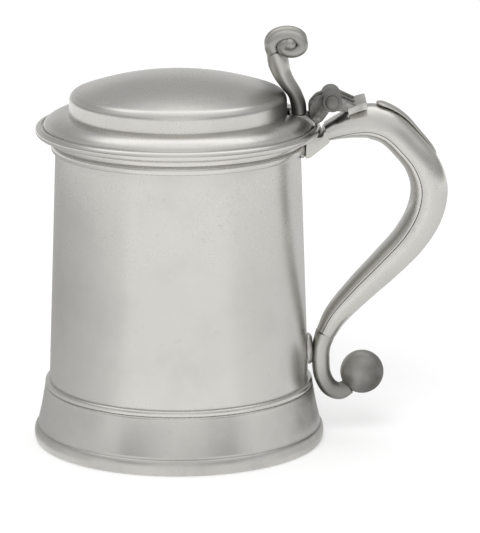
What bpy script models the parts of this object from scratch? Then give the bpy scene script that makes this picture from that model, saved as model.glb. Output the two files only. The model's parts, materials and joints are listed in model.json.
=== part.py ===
"""A lidded drinking tankard in polished white metal.

The drum's axis is Z, the table is Z = 0, the handle points to +X and the lid opens by turning about +Y.
Driving sizes are in millimetres; MM turns them into metres.
"""

import math

import bmesh
import bpy
from mathutils import Matrix, Vector

MM = 0.001
GAP = 0.3            # solder line between neighbouring pieces
CUT = 1.0            # how far a cutter runs past what it cuts
DIAGONAL = math.sqrt(0.5)
SHARP = math.radians(35)  # edges that bend more than this are shaded sharp

# Facets
STEPS = 48           # round every turned piece
HOLLOW_SEGMENTS = 5  # down the hollow of the foot
BEAD_SEGMENTS = 5    # over a half-round bead
REED_SEGMENTS = 4    # over each reed of the mouth band
RIM_SEGMENTS = 6
DOME_SEGMENTS = 7    # from the middle of the dome to its shoulder
FILLET_SEGMENTS = 4  # over the shoulder
MOULDING_SEGMENTS = 6
PAD_SEGMENTS = 24
BARREL_SEGMENTS = 20
PIN_SEGMENTS = 16
BALL_SEGMENTS = 20
BALL_RINGS = 12

# Drum and base
DRUM_FOOT_R = 55.7   # outer radius carried down to the table
LIP_R = 51.1         # outer radius at the mouth
LIP_Z = 132.2
WALL = 1.5
BASE_Z = 1.2         # underside of the base, just clear of the table
BASE_THICK = 2.4

# Skirt foot
FOOT_R = 61.4
FOOT_TOP = 24.0
FOOT_EDGE = 7.0      # height of the rounded bottom moulding
FOOT_STEP_R = 59.9   # radius of the small step above that moulding
FOOT_STEP = 0.8
FOOT_CHAMFER = 0.8   # takes the sharp corner off where the foot meets the table
SKIRT_R = 56.7       # radius where the hollow curve starts
SKIRT_PULL = (58.1, 14.6)  # the point the hollow curve bends towards
WIRE_R = 1.2         # half-round wire above the skirt
WIRE_SEAT = 0.3      # flat part of the wire against the drum

# Mouth band
BAND_LOW = 124.8
BAND_HIGH = 131.9
BAND_PROUD = 1.5
BAND_SEAT = 0.5      # thickness of the band in the groove between its reeds

# Lid
FLANGE_R = 57.5
FLANGE_HOLE_R = 43.8
FLANGE_LOW = 132.6
FLANGE_THICK = 2.4
RIM_R = 59.7
RIM_LOW = 131.8
RIM_HIGH = 135.7
RIM_SEAT = 0.5       # flat part of the rim wire against the flange
BEZEL_R = 48.4
BEZEL_LOW = 128.0
BEZEL_THICK = 1.6
BEZEL_TAPER = 0.4    # lead-in at the lower edge
CROWN_FOOT_R = 45.9
STEP_R = 45.5        # radius of the shoulder where the dome begins
STEP_Z = 148.6
DOME_Z = 157.2
SHOULDER_R = 4.0     # rounding between dome and upright step
CROWN_WALL = 1.4
MOULDING_R = 56.5    # outer radius of the rounded moulding between the crown and the rim
MOULDING_HIGH = 5.4
MOULDING_WALL = 1.4

# Hinge
PIN_X = 64.0
PIN_Z = 146.4
PIN_R = 1.5
BORE_R = PIN_R + GAP
BARREL_R = 4.1
ARM_HALF = 3.5       # half thickness of a lug's arm where it meets its barrel
LUG = 3.9            # width of one lug along the pin
LUG_GAP = 0.35
ARM_INSET = 0.02     # keeps an arm's sides off the barrel's end faces
LID_STRAP_HALF = 7.0
LID_STRAP_FRONT = 46.5
LID_STRAP_EDGE = 53.6  # where the strap's top starts to fall
LID_STRAP_BACK = 57.2
LID_STRAP_THICK = (4.9, 2.4)  # under the thumbpiece, and at the back
LID_ARM_FRONT = 54.6  # where the lid's lug arms leave the strap
LID_ARM_LIFT = 1.4    # their height above the rim wire
LID_ARM_SINK = 0.4    # how deep they start in the strap
LID_ARM_KNEE = ((54.5, 144.2), (57.8, 147.9))  # corners on top of the arms, as x and z
PIN_HEAD_R = 2.9
PIN_HEAD_TIP_R = 1.6
PIN_HEAD_HIGH = 1.7

# Handle: station = (x, z, half thickness, half width, squareness of the back)
HANDLE_STATIONS = (
    (62.8, 132.4, 3.6, 8.6, 4.0),
    (68.2, 134.4, 5.0, 9.0, 3.4),
    (74.4, 136.1, 6.4, 9.3, 2.7),
    (81.2, 136.6, 7.5, 9.4, 2.3),
    (88.6, 133.7, 7.4, 9.4, 2.3),
    (95.2, 127.4, 7.2, 9.3, 2.3),
    (101.7, 119.1, 7.4, 9.2, 2.3),
    (105.2, 108.6, 7.9, 9.0, 2.3),
    (103.4, 97.2, 7.9, 8.8, 2.3),
    (97.1, 86.0, 7.5, 8.4, 2.3),
    (87.4, 75.3, 7.0, 7.9, 2.3),
    (76.8, 64.7, 6.2, 7.3, 2.3),
    (67.0, 53.8, 5.2, 6.6, 2.3),
    (62.2, 45.4, 4.3, 5.8, 2.3),
)
TAIL_STATIONS = (
    (61.85, 44.6, 4.2, 5.6, 2.3),
    (60.3, 39.2, 3.9, 5.2, 2.2),
    (60.1, 33.0, 3.8, 4.9, 2.1),
    (60.9, 26.8, 3.7, 4.7, 2.0),
    (63.8, 21.6, 3.7, 4.5, 2.0),
    (68.2, 19.8, 3.6, 4.3, 2.0),
    (72.2, 21.9, 3.3, 4.1, 2.0),
)
HANDLE_WALL = 1.6
STRAP_THICK = 1.3
SEAM = 0.4           # height of the seam below the centre line, as a share of the half thickness
ARC_SEGMENTS = 10
STRAP_SEGMENTS = 6
STEPS_PER_SPAN = 3
OVAL_SEGMENTS = 12
ROOT_HALF_WIDTH = 8.4
ROOT_INSET = 0.4     # how far the root stays inside the handle's outline
ROOT_BEVEL = 0.6
ROOT_HEEL = (3.4, 2.6)  # the bevel under the root, out and up
BALL_R = 9.2
BALL_X = 77.6
BALL_Z = 28.2
UPPER_PAD = (126.2, 5.0, 10.6)     # centre height, half height, half width
LOWER_PAD = (38.4, 6.6, 7.0)
PAD_THICK = 1.0
LEAF_SPAN = (5, 8)                 # steps of the handle's path under the hinge plate
LEAF_THICK = 2.0
DROP_SPAN = (9, 18)                # steps of the handle's path under the drop
DROP_HALF_THICK = (1.1, 0.5)
DROP_HALF_WIDTH = (4.6, 1.1)
SEAT = 1.5 * GAP                   # clearance under pieces laid on the curved handle

# Thumbpiece
STEM_STATIONS = (
    (50.5, 140.9, 3.2, 6.4, 2.0),
    (50.1, 144.2, 3.2, 6.0, 2.0),
    (48.5, 148.8, 3.0, 5.6, 2.0),
    (45.5, 153.2, 3.4, 5.3, 2.0),
    (43.1, 157.6, 3.9, 5.4, 2.0),
    (41.8, 161.8, 4.4, 5.9, 2.0),
    (40.1, 167.4, 3.6, 6.4, 2.0),
)
SCROLL_X = 46.3
SCROLL_Z = 169.6
SCROLL_SQUASH = 0.6   # height of the scroll as a share of its length
SCROLL_OUT = 7.2     # radius of the scroll's centre line where it leaves the stem
SCROLL_IN = 1.9
SCROLL_TURNS = 1.3
SCROLL_START = 195.0  # degrees, from +X towards +Z
SCROLL_TUBE = (3.4, 1.9)
SCROLL_SPREAD = (3.6, 8.8)
SCROLL_POINTS = 26

# Finishes: colour, roughness
BRIGHT = ((0.62, 0.61, 0.58), 0.25)
CAST = ((0.52, 0.51, 0.48), 0.34)


def drum_radius(z):
    """Outer radius of the drum at a height, on its straight taper."""
    return DRUM_FOOT_R + (LIP_R - DRUM_FOOT_R) * z / LIP_Z


def arc(centre, radii, start, end, count):
    """Points on an ellipse in the profile plane, both ends included; angles in degrees from +X to +Z."""
    angles = [math.radians(start + (end - start) * i / count) for i in range(count + 1)]
    return [(centre[0] + radii[0] * math.cos(a), centre[1] + radii[1] * math.sin(a)) for a in angles]


def mix(ends, t):
    return ends[0] + (ends[1] - ends[0]) * t


def smooth(stations, per_span):
    """A Catmull-Rom curve through the stations, each a tuple of numbers."""
    ends = [tuple(2 * a - b for a, b in zip(stations[0], stations[1]))]
    tail = [tuple(2 * a - b for a, b in zip(stations[-1], stations[-2]))]
    knots = ends + list(stations) + tail
    points = []
    for i in range(1, len(knots) - 2):
        p, q, r, s = knots[i - 1:i + 3]
        for step in range(per_span):
            t = step / per_span
            weights = (
                -t + 2 * t ** 2 - t ** 3, 2 - 5 * t ** 2 + 3 * t ** 3,
                t + 4 * t ** 2 - 3 * t ** 3, t ** 3 - t ** 2)
            columns = zip(p, q, r, s)
            points.append(tuple(sum(w * v for w, v in zip(weights, column)) / 2 for column in columns))
    points.append(stations[-1])
    return points


def path_frames(points):
    """Unit directions along and across a path in the XZ plane; across is the path turned left."""
    frames = []
    for i in range(len(points)):
        ahead = points[min(i + 1, len(points) - 1)]
        behind = points[max(i - 1, 0)]
        along = Vector((ahead[0] - behind[0], ahead[1] - behind[1])).normalized()
        frames.append((along, Vector((-along.y, along.x))))
    return frames


class Bench:
    """Holds the collections, and puts finished pieces into them."""

    def __init__(self):
        self.parts = bpy.data.collections.new("tankard")
        self.cutters = bpy.data.collections.new("tankard_cutters")
        for collection in (self.parts, self.cutters):
            bpy.context.scene.collection.children.link(collection)

    def add(self, name, data, finish, parent=None):
        obj = bpy.data.objects.new(name, data)
        self.parts.objects.link(obj)
        obj.data.materials.append(metal(name, finish))
        if obj.type == "MESH":
            obj.data.shade_smooth()
            obj.data.set_sharp_from_angle(angle=SHARP)
        if parent:
            obj.parent = parent
            obj.matrix_parent_inverse = parent.matrix_world.inverted()
        return obj

    def helper(self, name, data):
        obj = bpy.data.objects.new(name, data)
        self.cutters.objects.link(obj)
        obj.hide_render = True
        obj.display_type = "WIRE"
        return obj

    def empty(self, name, location):
        obj = bpy.data.objects.new(name, None)
        self.parts.objects.link(obj)
        obj.location = Vector(location) * MM
        bpy.context.view_layer.update()
        return obj


def metal(name, finish):
    colour, roughness = finish
    material = bpy.data.materials.new(name + "_metal")
    material.use_nodes = True
    shader = material.node_tree.nodes["Principled BSDF"]
    shader.inputs["Base Color"].default_value = (*colour, 1.0)
    shader.inputs["Roughness"].default_value = roughness
    shader.inputs["Metallic"].default_value = 1.0
    return material


def combine(obj, other, operation):
    modifier = obj.modifiers.new(operation.lower() + "_" + other.name, "BOOLEAN")
    modifier.operation = operation
    modifier.solver = "EXACT"
    modifier.object = other


def turned(bench, name, profile, finish, parent=None, closed=True):
    """Turns a profile of (radius, height) points, listed down the outer side, about the drum's axis."""
    mesh = bpy.data.meshes.new(name)
    last = len(profile) if closed else len(profile) - 1
    edges = [(i, (i + 1) % len(profile)) for i in range(last)]
    mesh.from_pydata([(r * MM, 0, z * MM) for r, z in profile], edges, [])
    obj = bench.add(name, mesh, finish, parent)
    screw = obj.modifiers.new("turn", "SCREW")
    screw.axis = "Z"
    screw.steps = STEPS
    screw.render_steps = STEPS
    screw.use_merge_vertices = True
    screw.merge_threshold = 0.00001
    screw.use_smooth_shade = True
    return obj


def loft(name, sections):
    """Skins a row of closed sections that have the same number of points, and caps both ends."""
    work = bmesh.new()
    rings = [[work.verts.new(Vector(point) * MM) for point in section] for section in sections]
    count = len(rings[0])
    for ring, following in zip(rings, rings[1:]):
        for i in range(count):
            j = (i + 1) % count
            work.faces.new((ring[i], ring[j], following[j], following[i]))
    work.faces.new(rings[0])
    work.faces.new(rings[-1])
    bmesh.ops.recalc_face_normals(work, faces=work.faces)
    bmesh.ops.triangulate(work, faces=[face for face in work.faces if len(face.verts) > 4])
    mesh = bpy.data.meshes.new(name)
    work.to_mesh(mesh)
    work.free()
    return mesh


def sweep(name, stations, section, per_span=STEPS_PER_SPAN):
    """Carries section(half thickness, half width, squareness), in (across, sideways), along stations."""
    points = smooth(stations, per_span)
    sections = []
    for (x, z, thick, wide, square), (_, across) in zip(points, path_frames(points)):
        sections.append([
            (x + n * across.x, b, z + n * across.y) for n, b in section(thick, wide, square)])
    return loft(name, sections)


def bow(height, wide, square, low, count=ARC_SEGMENTS):
    """The rounded back of a D section: half a superellipse standing on its flat at across = low."""
    power = 2 / square
    points = []
    for i in range(count + 1):
        a = math.pi * (i / count - 0.5)
        side = math.copysign(abs(math.sin(a)) ** power, a)
        points.append((low + height * max(math.cos(a), 0.0) ** power, wide * side))
    return points


def channel_section(thick, wide, square):
    """The hollow back of the handle, open towards the fingers at the seam."""
    seam = -SEAM * thick
    height = thick - seam
    outer = bow(height, wide, square, seam)
    inner = bow(height - HANDLE_WALL, wide - HANDLE_WALL, square, seam)
    return outer + inner[::-1]


def strap_section(thick, wide, _):
    """The bowed strip that closes the channel: two arcs, one strip thickness apart."""
    seam = -SEAM * thick
    half = wide - HANDLE_WALL - GAP
    outer = arc((0, seam), (half, thick + seam), 180, 360, STRAP_SEGMENTS)
    inner = arc((0, seam + STRAP_THICK), (half, thick + seam), 360, 180, STRAP_SEGMENTS)
    return [(n, b) for b, n in outer + inner]


def egg_section(thick, wide, square):
    """The outside of the closed handle: the rounded back and the bowed front in one outline."""
    seam = -SEAM * thick
    front = arc((0, seam), (wide, thick + seam), 0, -180, STRAP_SEGMENTS)
    return bow(thick - seam, wide, square, seam) + [(n, b) for b, n in front[1:-1]]


def oval_section(thick, wide, _):
    full = arc((0, 0), (wide, thick), 0, 360, OVAL_SEGMENTS)
    return [(n, b) for b, n in full[:-1]]


def slab(name, outline, low, high):
    """A flat outline of (x, z) points with thickness along Y, as a mesh."""
    curve = bpy.data.curves.new(name + "_outline", "CURVE")
    curve.dimensions = "2D"
    curve.fill_mode = "BOTH"
    curve.extrude = (high - low) / 2 * MM
    spline = curve.splines.new("POLY")
    spline.points.add(len(outline) - 1)
    for point, (x, z) in zip(spline.points, outline):
        point.co = (x * MM, z * MM, 0, 1)
    spline.use_cyclic_u = True
    stand_up = Matrix.Translation((0, (low + high) / 2 * MM, 0)) @ Matrix.Rotation(math.pi / 2, 4, "X")
    return curve_mesh(name, curve, stand_up)


def curve_mesh(name, curve, place):
    """The curve's evaluated mesh with its caps welded on and its place applied."""
    guide = bpy.data.objects.new(name + "_guide", curve)
    bpy.context.scene.collection.objects.link(guide)
    bpy.context.view_layer.update()
    mesh = bpy.data.meshes.new_from_object(guide.evaluated_get(bpy.context.evaluated_depsgraph_get()))
    bpy.data.objects.remove(guide)
    work = bmesh.new()
    work.from_mesh(mesh)
    bmesh.ops.remove_doubles(work, verts=work.verts, dist=0.000001)
    bmesh.ops.transform(work, matrix=place, verts=work.verts)
    bmesh.ops.recalc_face_normals(work, faces=work.faces)
    work.to_mesh(mesh)
    work.free()
    mesh.name = name
    return mesh


def rod(name, radius, low, high, segments):
    """A cylinder along the hinge's axis."""
    work = bmesh.new()
    middle = Vector((PIN_X, (low + high) / 2, PIN_Z)) * MM
    place = Matrix.Translation(middle) @ Matrix.Rotation(math.pi / 2, 4, "X")
    bmesh.ops.create_cone(
        work, cap_ends=True, segments=segments, radius1=radius * MM, radius2=radius * MM,
        depth=(high - low) * MM, matrix=place)
    mesh = bpy.data.meshes.new(name)
    work.to_mesh(mesh)
    work.free()
    return mesh


def ball(name, radius):
    """A sphere round the middle of the tail's ball."""
    work = bmesh.new()
    place = Matrix.Translation(Vector((BALL_X, 0, BALL_Z)) * MM)
    bmesh.ops.create_uvsphere(
        work, u_segments=BALL_SEGMENTS, v_segments=BALL_RINGS, radius=radius * MM, matrix=place)
    mesh = bpy.data.meshes.new(name)
    work.to_mesh(mesh)
    work.free()
    return mesh


def lug_spans():
    """Spans along Y of the five lugs from left to right: handle, lid, handle, lid, handle."""
    pitch = LUG + LUG_GAP
    return [(i * pitch - LUG / 2, i * pitch + LUG / 2) for i in range(-2, 3)]


# Vessel

def make_drum(bench):
    outer = [(LIP_R, LIP_Z), (drum_radius(BASE_Z), BASE_Z)]
    inner = [(r - WALL, z) for r, z in reversed(outer)]
    turned(bench, "drum", outer + inner, BRIGHT)


def make_base_plate(bench):
    edge = drum_radius(BASE_Z) - WALL - GAP
    top = BASE_Z + BASE_THICK
    edge_top = drum_radius(top) - WALL - GAP
    profile = [(0, top), (edge_top, top), (edge, BASE_Z), (0, BASE_Z)]
    turned(bench, "base_plate", profile, BRIGHT, closed=False)


def make_foot_ring(bench):
    start = Vector((SKIRT_R, FOOT_TOP))
    pull = Vector(SKIRT_PULL)
    end = Vector((FOOT_STEP_R, FOOT_EDGE + FOOT_STEP))
    shares = [i / HOLLOW_SEGMENTS for i in range(HOLLOW_SEGMENTS + 1)]
    hollow = [tuple(start.lerp(pull, t).lerp(pull.lerp(end, t), t)) for t in shares]
    edge_radii = (FOOT_R - FOOT_STEP_R, FOOT_EDGE / 2)
    edge = arc((FOOT_STEP_R, FOOT_EDGE / 2), edge_radii, 90, -60, BEAD_SEGMENTS)
    outer = hollow + edge + [(FOOT_STEP_R - FOOT_CHAMFER, 0)]
    inner = [(drum_radius(0) + GAP, 0), (drum_radius(FOOT_TOP) + GAP, FOOT_TOP)]
    turned(bench, "foot_ring", outer + inner, BRIGHT)


def make_foot_wire(bench):
    low = FOOT_TOP + GAP
    centre = (drum_radius(low + WIRE_R) + GAP + WIRE_SEAT, low + WIRE_R)
    outer = arc(centre, (WIRE_R, WIRE_R), 90, -90, BEAD_SEGMENTS)
    inner = [(drum_radius(low) + GAP, low), (drum_radius(low + 2 * WIRE_R) + GAP, low + 2 * WIRE_R)]
    turned(bench, "foot_wire", outer + inner, BRIGHT)


def make_lip_band(bench):
    """Two reeds round the mouth, stopped on each side of the handle's upper pad."""
    seat = drum_radius(BAND_LOW) + GAP
    reed = (BAND_HIGH - BAND_LOW) / 4
    radii = (BAND_PROUD - BAND_SEAT, reed)
    upper = arc((seat + BAND_SEAT, BAND_HIGH - reed), radii, 90, -80, REED_SEGMENTS)
    lower = arc((seat + BAND_SEAT, BAND_LOW + reed), radii, 80, -90, REED_SEGMENTS)
    inner = [(seat, BAND_LOW), (drum_radius(BAND_HIGH) + GAP, BAND_HIGH)]
    obj = turned(bench, "lip_band", upper + lower + inner, BRIGHT)
    half = UPPER_PAD[2] + 2 * GAP
    reach = 2 * LIP_R
    notch = [(0, BAND_HIGH + CUT), (reach, BAND_HIGH + CUT), (reach, BAND_LOW - CUT), (0, BAND_LOW - CUT)]
    combine(obj, bench.helper("band_notch", slab("band_notch", notch, -half, half)), "DIFFERENCE")


def make_pad(bench, name, place):
    """An oval plate bent round the drum: a piece of a turned sleeve, cut out by an oval rod along X."""
    centre, half_height, half_width = place
    low = centre - half_height - CUT
    high = centre + half_height + CUT
    outer = [(drum_radius(high) + GAP + PAD_THICK, high), (drum_radius(low) + GAP + PAD_THICK, low)]
    inner = [(r - PAD_THICK, z) for r, z in reversed(outer)]
    obj = turned(bench, name, outer + inner, CAST)
    work = bmesh.new()
    reach = 2 * DRUM_FOOT_R
    oval = Matrix.Diagonal((half_height, half_width, reach, 1))
    to_x = Matrix.Translation((reach / 2 * MM, 0, centre * MM)) @ Matrix.Rotation(math.pi / 2, 4, "Y")
    bmesh.ops.create_cone(
        work, cap_ends=True, segments=PAD_SEGMENTS, radius1=MM, radius2=MM, depth=MM, matrix=to_x @ oval)
    mesh = bpy.data.meshes.new(name + "_oval")
    work.to_mesh(mesh)
    work.free()
    combine(obj, bench.helper(name + "_oval", mesh), "INTERSECT")


def make_handle(bench):
    bench.add("handle_back", sweep("handle_back", HANDLE_STATIONS, channel_section), BRIGHT)
    bench.add("handle_strap", sweep("handle_strap", HANDLE_STATIONS, strap_section), BRIGHT)


def make_handle_root(bench):
    """A block from the upper pad to the open end of the handle, cut square to the handle's path."""
    x, z, thick = HANDLE_STATIONS[0][:3]
    along, across = path_frames(HANDLE_STATIONS[:2])[0]
    end = Vector((x, z)) - SEAT * along
    end_top = end + (thick - ROOT_INSET) * across
    end_low = end - (thick - ROOT_INSET) * across
    top = RIM_LOW - SEAT
    low = UPPER_PAD[0] - UPPER_PAD[1]
    front = drum_radius(low) + 2 * GAP + PAD_THICK
    outline = [
        (front, top - ROOT_BEVEL), (front + ROOT_BEVEL, top), (RIM_R + GAP, top), tuple(end_top),
        tuple(end_low), (front + ROOT_HEEL[0], low + ROOT_HEEL[1]), (front, low)]
    bench.add("handle_root", slab("handle_root", outline, -ROOT_HALF_WIDTH, ROOT_HALF_WIDTH), CAST)


def make_tail(bench):
    """The curled tail, hollowed at its tip to seat the ball."""
    tail = bench.add("handle_tail", sweep("handle_tail", TAIL_STATIONS, egg_section), CAST)
    combine(tail, bench.helper("ball_seat", ball("ball_seat", BALL_R + GAP)), "DIFFERENCE")
    bench.add("tail_ball", ball("tail_ball", BALL_R), CAST)


def back_line(span, lift):
    """Points along the handle's back, lifted off it, between two steps of its path."""
    path = smooth(HANDLE_STATIONS, STEPS_PER_SPAN)
    frames = path_frames(path)
    return [Vector(path[i][:2]) + (path[i][2] + lift) * frames[i][1] for i in range(span[0], span[1] + 1)]


def make_handle_leaf(bench):
    spans = lug_spans()[::2]
    low = spans[0][0]
    high = spans[-1][1]
    plate = back_line(LEAF_SPAN, SEAT) + back_line(LEAF_SPAN, SEAT + LEAF_THICK)[::-1]
    obj = bench.add("hinge_handle_leaf", slab("hinge_handle_leaf", plate, low, high), CAST)
    middle = back_line(LEAF_SPAN, SEAT + LEAF_THICK / 2)
    arm = [(PIN_X, PIN_Z + ARM_HALF), middle[2], middle[0], (PIN_X, PIN_Z - ARM_HALF)]
    for i, (start, end) in enumerate(spans):
        tag = "handle_lug_" + "abc"[i]
        combine(obj, bench.helper(tag + "_barrel", rod(tag, BARREL_R, start, end, BARREL_SEGMENTS)), "UNION")
        plate_arm = slab(tag + "_arm", arm, start + ARM_INSET, end - ARM_INSET)
        combine(obj, bench.helper(tag + "_arm", plate_arm), "UNION")
    bore = rod("handle_leaf_bore", BORE_R, low - CUT, high + CUT, BARREL_SEGMENTS)
    combine(obj, bench.helper("handle_leaf_bore", bore), "DIFFERENCE")


def make_hinge_drop(bench):
    """A tapering drop that lies along the handle's back behind the hinge."""
    steps = DROP_SPAN[1] - DROP_SPAN[0]
    stations = []
    for i in range(steps + 1):
        t = i / steps
        thick = mix(DROP_HALF_THICK, t)
        spot = back_line((DROP_SPAN[0] + i, DROP_SPAN[0] + i), SEAT + thick)[0]
        stations.append((spot.x, spot.y, thick, mix(DROP_HALF_WIDTH, t), 2.0))
    bench.add("hinge_drop", sweep("hinge_drop", stations, oval_section, 1), CAST)


def make_pin(bench):
    reach = lug_spans()[-1][1]
    bench.add("hinge_pin", rod("hinge_pin", PIN_R, -reach, reach, PIN_SEGMENTS), CAST)
    for side, name in ((-1, "pin_head_left"), (1, "pin_head_right")):
        inner = side * (reach + GAP)
        work = bmesh.new()
        flat = Matrix.Rotation(-side * math.pi / 2, 4, "X")
        place = Matrix.Translation(Vector((PIN_X, inner + side * PIN_HEAD_HIGH / 2, PIN_Z)) * MM)
        bmesh.ops.create_cone(
            work, cap_ends=True, segments=PIN_SEGMENTS, radius1=PIN_HEAD_R * MM, radius2=PIN_HEAD_TIP_R * MM,
            depth=PIN_HEAD_HIGH * MM, matrix=place @ flat)
        mesh = bpy.data.meshes.new(name)
        work.to_mesh(mesh)
        work.free()
        bench.add(name, mesh, CAST)


# Lid

def make_lid(bench, hinge):
    top = FLANGE_LOW + FLANGE_THICK
    flange = [(FLANGE_HOLE_R, top), (FLANGE_R, top), (FLANGE_R, FLANGE_LOW), (FLANGE_HOLE_R, FLANGE_LOW)]
    turned(bench, "lid_flange", flange, BRIGHT, hinge)
    middle = (RIM_LOW + RIM_HIGH) / 2
    seat = FLANGE_R + GAP
    radii = (RIM_R - seat - RIM_SEAT, (RIM_HIGH - RIM_LOW) / 2)
    rim = arc((seat + RIM_SEAT, middle), radii, 90, -90, RIM_SEGMENTS)
    turned(bench, "lid_rim_wire", rim + [(seat, RIM_LOW), (seat, RIM_HIGH)], BRIGHT, hinge)
    bezel_top = FLANGE_LOW - GAP
    bezel_in = BEZEL_R - BEZEL_THICK
    tip = BEZEL_R - BEZEL_TAPER
    bezel = [(BEZEL_R, bezel_top), (tip, BEZEL_LOW), (bezel_in, BEZEL_LOW), (bezel_in, bezel_top)]
    turned(bench, "lid_bezel", bezel, BRIGHT, hinge)


def make_moulding(bench, hinge):
    """A quarter-round shell that falls from the crown to the flange, stopped beside the hinge strap."""
    low = FLANGE_LOW + FLANGE_THICK + GAP
    centre = (CROWN_FOOT_R + GAP, low)
    radii = (MOULDING_R - centre[0], MOULDING_HIGH)
    inner_radii = (radii[0] - MOULDING_WALL, radii[1] - MOULDING_WALL)
    outer = arc(centre, radii, 90, 0, MOULDING_SEGMENTS)
    inner = arc(centre, inner_radii, 0, 90, MOULDING_SEGMENTS)
    obj = turned(bench, "lid_moulding", outer + inner, BRIGHT, hinge)
    half = LID_STRAP_HALF + 2 * GAP
    reach = 2 * MOULDING_R
    top = low + MOULDING_HIGH + CUT
    notch = [(0, top), (reach, top), (reach, low - CUT), (0, low - CUT)]
    combine(obj, bench.helper("moulding_notch", slab("moulding_notch", notch, -half, half)), "DIFFERENCE")


def make_crown(bench, hinge):
    """Low dome, rounded shoulder and an upright step down to the flange."""
    low = FLANGE_LOW + FLANGE_THICK + GAP
    rise = DOME_Z - STEP_Z
    dome_r = (STEP_R ** 2 + rise ** 2) / (2 * rise)
    dome_z = DOME_Z - dome_r
    turn_r = STEP_R - SHOULDER_R
    turn_z = dome_z + math.sqrt((dome_r - SHOULDER_R) ** 2 - turn_r ** 2)
    tip = math.degrees(math.atan2(turn_z - dome_z, turn_r))
    dome = arc((0, dome_z), (dome_r, dome_r), 90, tip, DOME_SEGMENTS)
    shoulder = arc((turn_r, turn_z), (SHOULDER_R, SHOULDER_R), tip, 0, FILLET_SEGMENTS)[1:]
    outer = dome + shoulder + [(CROWN_FOOT_R, low)]
    inner = [(r - CROWN_WALL, z) for r, z in [(CROWN_FOOT_R, low)] + shoulder[-1:]]
    under = [(r * (1 - CROWN_WALL / dome_r), z - CROWN_WALL) for r, z in dome[-2::-1]]
    turned(bench, "lid_crown", outer + inner + under, BRIGHT, hinge, closed=False)


def make_lid_leaf(bench, hinge):
    low = FLANGE_LOW + FLANGE_THICK + GAP
    top, back_top = (low + thick for thick in LID_STRAP_THICK)
    plate = [
        (LID_STRAP_FRONT, top), (LID_STRAP_EDGE, top), (LID_STRAP_BACK, back_top), (LID_STRAP_BACK, low),
        (LID_STRAP_FRONT, low)]
    obj = bench.add(
        "hinge_lid_leaf", slab("hinge_lid_leaf", plate, -LID_STRAP_HALF, LID_STRAP_HALF), CAST, hinge)
    spans = lug_spans()[1::2]
    corner = ARM_HALF * DIAGONAL
    top_side = [(LID_ARM_FRONT, back_top - LID_ARM_SINK), *LID_ARM_KNEE, (PIN_X - corner, PIN_Z + corner)]
    inside = (LID_ARM_FRONT, low + LID_ARM_SINK)
    under_side = [(PIN_X, PIN_Z - ARM_HALF), (RIM_R, RIM_HIGH + LID_ARM_LIFT), inside]
    arm = top_side + [(PIN_X, PIN_Z + ARM_HALF)] + under_side
    for i, (start, end) in enumerate(spans):
        tag = "lid_lug_" + "ab"[i]
        combine(obj, bench.helper(tag + "_barrel", rod(tag, BARREL_R, start, end, BARREL_SEGMENTS)), "UNION")
        plate_arm = slab(tag + "_arm", arm, start + ARM_INSET, end - ARM_INSET)
        combine(obj, bench.helper(tag + "_arm", plate_arm), "UNION")
    bore = rod("lid_leaf_bore", BORE_R, spans[0][0] - CUT, spans[-1][1] + CUT, BARREL_SEGMENTS)
    combine(obj, bench.helper("lid_leaf_bore", bore), "DIFFERENCE")


def make_thumbpiece(bench, hinge):
    bench.add("thumb_stem", sweep("thumb_stem", STEM_STATIONS, oval_section), CAST, hinge)
    for side, name in ((-1, "thumb_scroll_left"), (1, "thumb_scroll_right")):
        bench.add(name, scroll(name, side), CAST, hinge)


def scroll(name, side):
    """A tapering tube on a spiral that rises from the stem, turns back over the top and spreads sideways."""
    curve = bpy.data.curves.new(name + "_path", "CURVE")
    curve.dimensions = "3D"
    curve.bevel_depth = MM
    curve.bevel_resolution = 2
    curve.use_fill_caps = True
    spline = curve.splines.new("POLY")
    spline.points.add(SCROLL_POINTS - 1)
    for i, point in enumerate(spline.points):
        t = i / (SCROLL_POINTS - 1)
        a = math.radians(SCROLL_START) - 2 * math.pi * SCROLL_TURNS * t
        r = mix((SCROLL_OUT, SCROLL_IN), t)
        y = side * mix(SCROLL_SPREAD, t)
        z = SCROLL_Z + SCROLL_SQUASH * r * math.sin(a)
        point.co = ((SCROLL_X + r * math.cos(a)) * MM, y * MM, z * MM, 1)
        point.radius = mix(SCROLL_TUBE, t)
    return curve_mesh(name, curve, Matrix.Identity(4))


def main():
    for obj in list(bpy.data.objects):
        bpy.data.objects.remove(obj)
    bench = Bench()
    make_drum(bench)
    make_base_plate(bench)
    make_foot_ring(bench)
    make_foot_wire(bench)
    make_lip_band(bench)
    make_pad(bench, "handle_upper_pad", UPPER_PAD)
    make_pad(bench, "handle_lower_pad", LOWER_PAD)
    make_handle_root(bench)
    make_handle(bench)
    make_tail(bench)
    make_handle_leaf(bench)
    make_hinge_drop(bench)
    make_pin(bench)
    hinge = bench.empty("lid_hinge", (PIN_X, 0, PIN_Z))
    make_lid(bench, hinge)
    make_moulding(bench, hinge)
    make_crown(bench, hinge)
    make_lid_leaf(bench, hinge)
    make_thumbpiece(bench, hinge)


main()
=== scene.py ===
"""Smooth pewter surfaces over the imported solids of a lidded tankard, with its table, light and camera.

Every surface is a grid of points worked out with whole arrays.  The tables give sizes in millimetres in the
part's own frame: the foot rests on Z = 0, the drum turns round Z and the handle points along +X.
"""

import json
import math

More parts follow.
